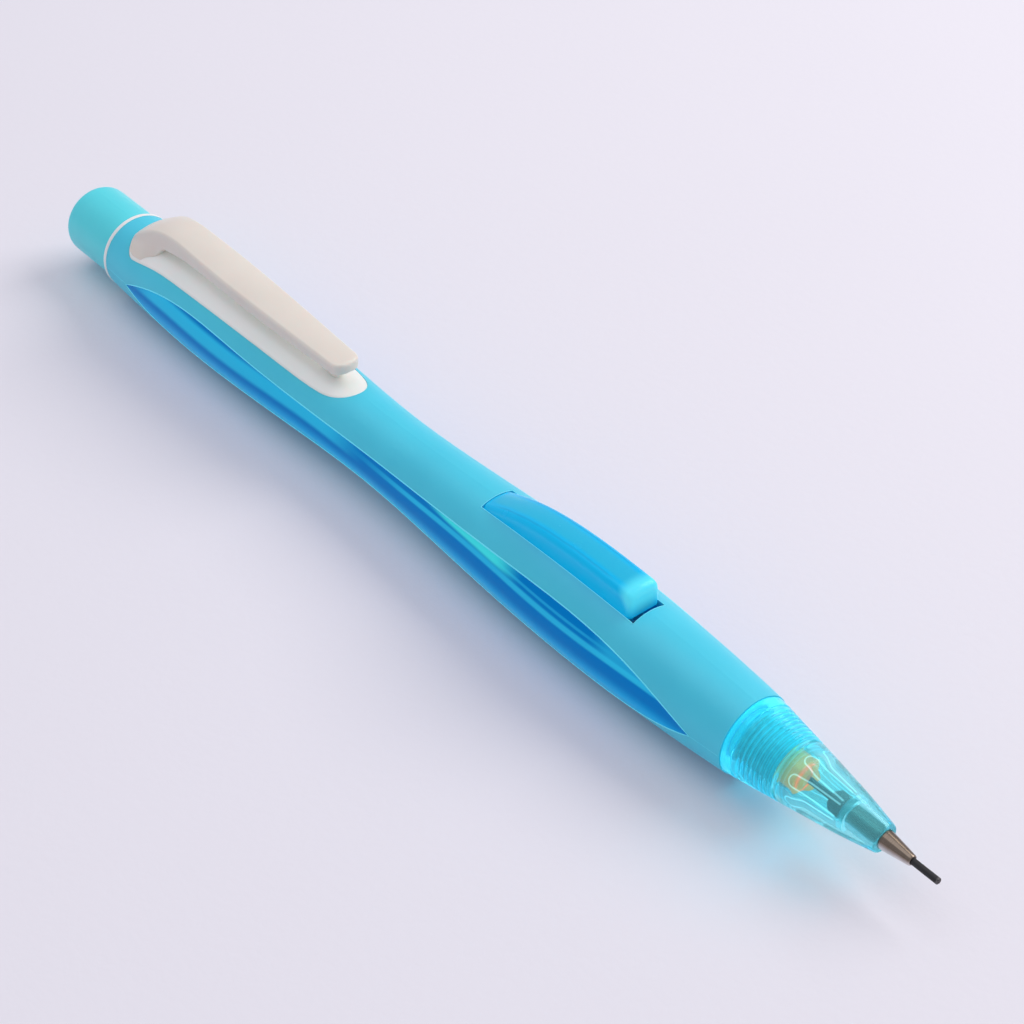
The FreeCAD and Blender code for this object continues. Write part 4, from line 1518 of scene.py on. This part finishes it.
@dataclass
class Cone:
    """The clear screw-off cone, ribbed outside and fluted inside."""

    palette: Palette
    rear: float = 120.3
    tip: float = 137.4
    rib_start: float = 122.15
    rib_pitch: float = 0.52
    rib_count: int = 9
    rib_depth: float = 0.13
    flutes: int = 6
    flute_radius: float = 0.6
    flute_rear: float = 127.75
    flute_front: float = 132.6
    flute_heights: tuple[float, float] = (2.3, 1.42)
    fluted_bore: tuple[float, float] = (1.4, 2.26)
    segments: int = 150
    row_length: float = 0.07

    def build(self) -> None:
        """Turn the cone, cut its flutes and raise its ribs."""
        outer = [(self.rear, 4.2, 0.0), (self.rear, 4.42, 0.12), (121.45, 4.26, 0.05),
                 (121.52, 4.12, 0.04), (121.72, 4.1, 0.04), (121.8, 4.21, 0.05),
                 (126.8, 3.46, 0.6), (133.4, 2.4, 1.2), (137.2, 1.6, 0.25),
                 (self.tip, 1.5, 0.1), (self.tip, 1.1, 0.04)]
        inner = [(137.3, 1.07, 0.04), (133.55, 1.07, 0.03), (133.5, 1.39, 0.03),
                 (133.0, 1.39, 0.03), (132.6, 1.5, 0.2), (131.0, 1.62, 0.4),
                 (129.1, 1.75, 0.3), (127.9, 2.25, 0.3), (126.05, 2.25, 0.08),
                 (126.0, 3.17, 0.08), (self.rear, 3.17, 0.05)]
        outline = subdivided(rounded(outer + inner), self.row_length)
        turn = np.linspace(0.0, 2 * math.pi, self.segments, endpoint=False)
        station, radius = (np.array(column)[:, None] for column in zip(*outline))
        count = len(subdivided(rounded(outer), self.row_length))
        fluted = self._fluted(station, radius, turn)
        inner_rows = np.arange(len(outline))[:, None] > count
        least, most = self.fluted_bore
        bore = inner_rows & (radius < most) & (radius > least)
        radius = np.where(bore, fluted, radius + 0 * turn)
        piece = revolve("cone_shell", station, radius, turn, 40.0)
        self._ribs(piece)
        settle(piece, Body.CONE, "cone_clear", "front_cone")

    def _fluted(self, station: np.ndarray, radius: np.ndarray, turn: np.ndarray) -> np.ndarray:
        """The bore's radius with its round-ended flutes.

        Args:
            station: Station of each row.
            radius: The bore's plain radius in each row.
            turn: Angle of each column.

        Returns:
            The radius of every point.
        """
        pitch = 2 * math.pi / self.flutes
        off = np.abs((turn + pitch / 2) % pitch - pitch / 2)
        share = (station - self.flute_rear) / (self.flute_front - self.flute_rear)
        rear, front = self.flute_heights
        centre = rear + (front - rear) * share
        before = ((self.flute_rear - station) / self.flute_radius).clip(0, 1)
        reach = np.clip(1 - before**2, 0, 1)
        size = self.flute_radius * np.sqrt(reach) * (station < self.flute_front)
        across = np.sin(off) * centre
        swell = np.sqrt(np.clip(size**2 - across**2, 0.0, None))
        cut = np.maximum(radius, centre * np.cos(off) + swell)
        return np.where(swell > 0, cut, radius + 0 * turn)

    def _ribs(self, piece: Object) -> None:
        """Sink the grooves between the ribs into the cone's outside.

        Args:
            piece: The smooth cone.
        """
        sizes = {"Start": self.rib_start, "Pitch": self.rib_pitch, "Count": float(self.rib_count),
                 "Depth": self.rib_depth, "Wall": 3.2}
        recipe = Recipe("cone_ribs", sizes)
        calc, entry = recipe.calc, recipe.entry

        def vector(operation: str, inputs: dict, output: int = 0) -> Socket:
            """The result of a Vector Math node."""
            made = recipe.node("ShaderNodeVectorMath", {"operation": operation}, inputs)
            return made.outputs[output]

        spot = recipe.node("GeometryNodeInputPosition", {}, {}).outputs[0]
        local = vector("SUBTRACT", {0: spot, 1: (LAYOUT.rear, 0.0, LAYOUT.axis)})
        parts = recipe.node("ShaderNodeSeparateXYZ", {}, {0: local}).outputs
        station = calc("DIVIDE", parts[0], MM)
        spoke = recipe.node("ShaderNodeCombineXYZ", {}, {1: parts[1], 2: parts[2]}).outputs[0]
        size = vector("LENGTH", {0: spoke}, 1)
        away = vector("NORMALIZE", {0: spoke})
        turns = calc("DIVIDE", calc("SUBTRACT", station, entry["Start"]), entry["Pitch"])
        wave = calc("COSINE", calc("MULTIPLY", turns, 2 * math.pi))
        sunk = calc("POWER", calc("MULTIPLY", calc("SUBTRACT", 1.0, wave), 0.5), 0.8)
        started, ended = calc("GREATER_THAN", turns, 0.0), calc("LESS_THAN", turns, entry["Count"])
        outside = calc("GREATER_THAN", size, calc("MULTIPLY", entry["Wall"], MM))
        inside = calc("MULTIPLY", started, ended)
        amount = calc("MULTIPLY", calc("MULTIPLY", sunk, inside), outside)
        depth = calc("MULTIPLY", calc("MULTIPLY", amount, entry["Depth"]), -MM)
        offset = vector("SCALE", {0: away, "Scale": depth})
        inputs = {"Geometry": entry["Geometry"], "Offset": offset}
        moved = recipe.node("GeometryNodeSetPosition", {}, inputs)
        recipe.run(piece, moved.outputs[0], self.palette.cone)


@dataclass
class Nose:
    """The metal nozzle, the rubber retainer and the thread that the cone screws on."""

    palette: Palette
    thread_rear: float = 120.5
    thread_length: float = 5.0
    thread_turns: float = 9.5
    thread_radius: float = 2.98
    thread_wire: float = 0.11

    def build(self) -> None:
        """Turn the nozzle and wind the thread."""
        nozzle = [(133.0, 0.4, 0.0), (133.0, 1.35, 0.08), (133.5, 1.35, 0.08), (133.5, 1.05, 0.03),
                  (137.45, 1.05, 0.15), (140.5, 0.6, 0.2), (140.72, 0.56, 0.05), (140.8, 0.5, 0.04),
                  (140.8, 0.41, 0.03), (140.6, 0.4, 0.0)]
        piece = lathe("nozzle_turned", subdivided(rounded(nozzle), 0.25), 96, 50.0)
        piece.data.materials.append(self.palette.nickel)
        settle(piece, Body.NOSE, "nickel", "nozzle")
        self._thread()

    def _thread(self) -> None:
        """Wind the sleeve's thread, which shows through the cone."""
        piece = wind(
            "sleeve_thread", self.thread_rear, self.palette.sleeve,
            Turns=self.thread_turns, Radius=self.thread_radius,
            Length=self.thread_length, Wire=self.thread_wire)
        settle(piece, Body.BARREL, "sleeve_grey")

    def dress(self) -> None:
        """Give the retainer its finish."""
        coat("lead_retainer", self.palette.rubber)


@dataclass
class Lead:
    """The lead in use, with its worn point."""

    palette: Palette
    rear: float = 112.72
    tip: float = 144.0
    radius: float = 0.35

    def build(self) -> None:
        """Turn the lead and wear its point."""
        outline = [(self.rear, 0.0), (self.rear, self.radius), (self.tip - 0.12, self.radius),
                   (self.tip - 0.04, self.radius - 0.05), (self.tip, self.radius - 0.14),
                   (self.tip, 0.0)]
        piece = lathe("lead_point", subdivided(outline, 0.12), 40, 50.0)
        rng = np.random.default_rng(7)
        for vertex in piece.data.vertices:
            ahead = LAYOUT.millimetres(np.array(vertex.co))[0] - (self.tip - 0.13)
            if ahead > 0:
                vertex.co.x -= float(rng.uniform(0.0, 0.05)) * MM
        piece.data.materials.append(self.palette.lead)
        settle(piece, Body.LEAD, "graphite", "active_lead")


# --- stage ----------------------------------------------------------------------------


@dataclass(frozen=True)
class Lamp:
    """A soft rectangular studio light aimed at a point."""

    name: str
    place: Colour
    size: float
    power: float
    colour: Colour
    aim: Colour = (0.01, 0.0, 0.005)

    def hang(self) -> None:
        """Put the light up."""
        data = bpy.data.lights.new(self.name, "AREA")
        data.shape = "SQUARE"
        data.size = self.size
        data.energy = self.power
        data.color = self.colour
        lamp = add_object(self.name, data)
        lamp.location = self.place
        direction = Vector(self.aim) - Vector(self.place)
        lamp.rotation_euler = direction.to_track_quat("-Z", "Y").to_euler()


@dataclass(frozen=True)
class Studio:
    """Floor, lights and camera."""

    azimuth: float = 50.84
    elevation: float = 39.69
    roll: float = -0.34
    lens: float = 77.34
    distance: float = 0.22913
    aim: Colour = (0.01194, 0.0, 0.010145)
    floor_half: float = 3.0
    sky: Colour = (0.86, 0.86, 0.93)
    sky_strength: float = 0.60

    def build(self) -> None:
        """Set everything up."""
        self._floor()
        self._sky()
        Lamp("key", (0.16, 0.52, 0.46), 0.42, 2.75, (1.0, 0.97, 0.93)).hang()
        Lamp("top", (-0.2, -0.1, 0.8), 0.7, 1.4, (0.95, 0.96, 1.0)).hang()
        self._camera()

    def _floor(self) -> None:
        """Lay the paper."""
        h = self.floor_half
        mesh = bpy.data.meshes.new("floor")
        mesh.from_pydata([(-h, -h, 0), (h, -h, 0), (h, h, 0), (-h, h, 0)], [], [(0, 1, 2, 3)])
        floor = add_object("floor", mesh)
        mesh.materials.append(Paper().make())

    def _sky(self) -> None:
        """Light the room evenly."""
        world = bpy.data.worlds.new("room")
        world.use_nodes = True
        back = world.node_tree.nodes["Background"]
        back.inputs[0].default_value = (*self.sky, 1.0)
        back.inputs[1].default_value = self.sky_strength
        bpy.context.scene.world = world
        bpy.context.scene.view_settings.view_transform = "Standard"

    def _camera(self) -> None:
        """Stand the camera."""
        az, el = math.radians(self.azimuth), math.radians(self.elevation)
        back = Vector((math.sin(az) * math.cos(el), -math.cos(az) * math.cos(el), math.sin(el)))
        data = bpy.data.cameras.new("camera")
        data.lens = self.lens
        data.sensor_width = 36.0
        data.clip_start, data.clip_end = 0.01, 20.0
        camera = add_object("camera", data)
        camera.location = Vector(self.aim) + back * self.distance
        turn = (-back).to_track_quat("-Z", "Y").to_matrix().to_4x4()
        camera.rotation_euler = (turn @ Matrix.Rotation(math.radians(self.roll), 4, "Z")).to_euler()
        bpy.context.scene.camera = camera


def main() -> None:
    """Build and dress the pencil, then set the stage."""
    logging.basicConfig(level=logging.INFO, format="%(name)s: %(message)s")
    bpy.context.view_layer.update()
    palette = Palette()
    openings = Openings()
    barrel, works, nose = Barrel(palette, openings), Works(palette), Nose(palette)
    clip, button = Clip(palette, openings), Button(palette, openings)
    for part in (barrel, clip, button, works, Cone(palette), nose, Lead(palette)):
        part.build()
    for part in (barrel, Tail(palette), works, nose):
        part.dress()
    Studio().build()


if __name__ == "__main__":
    main()
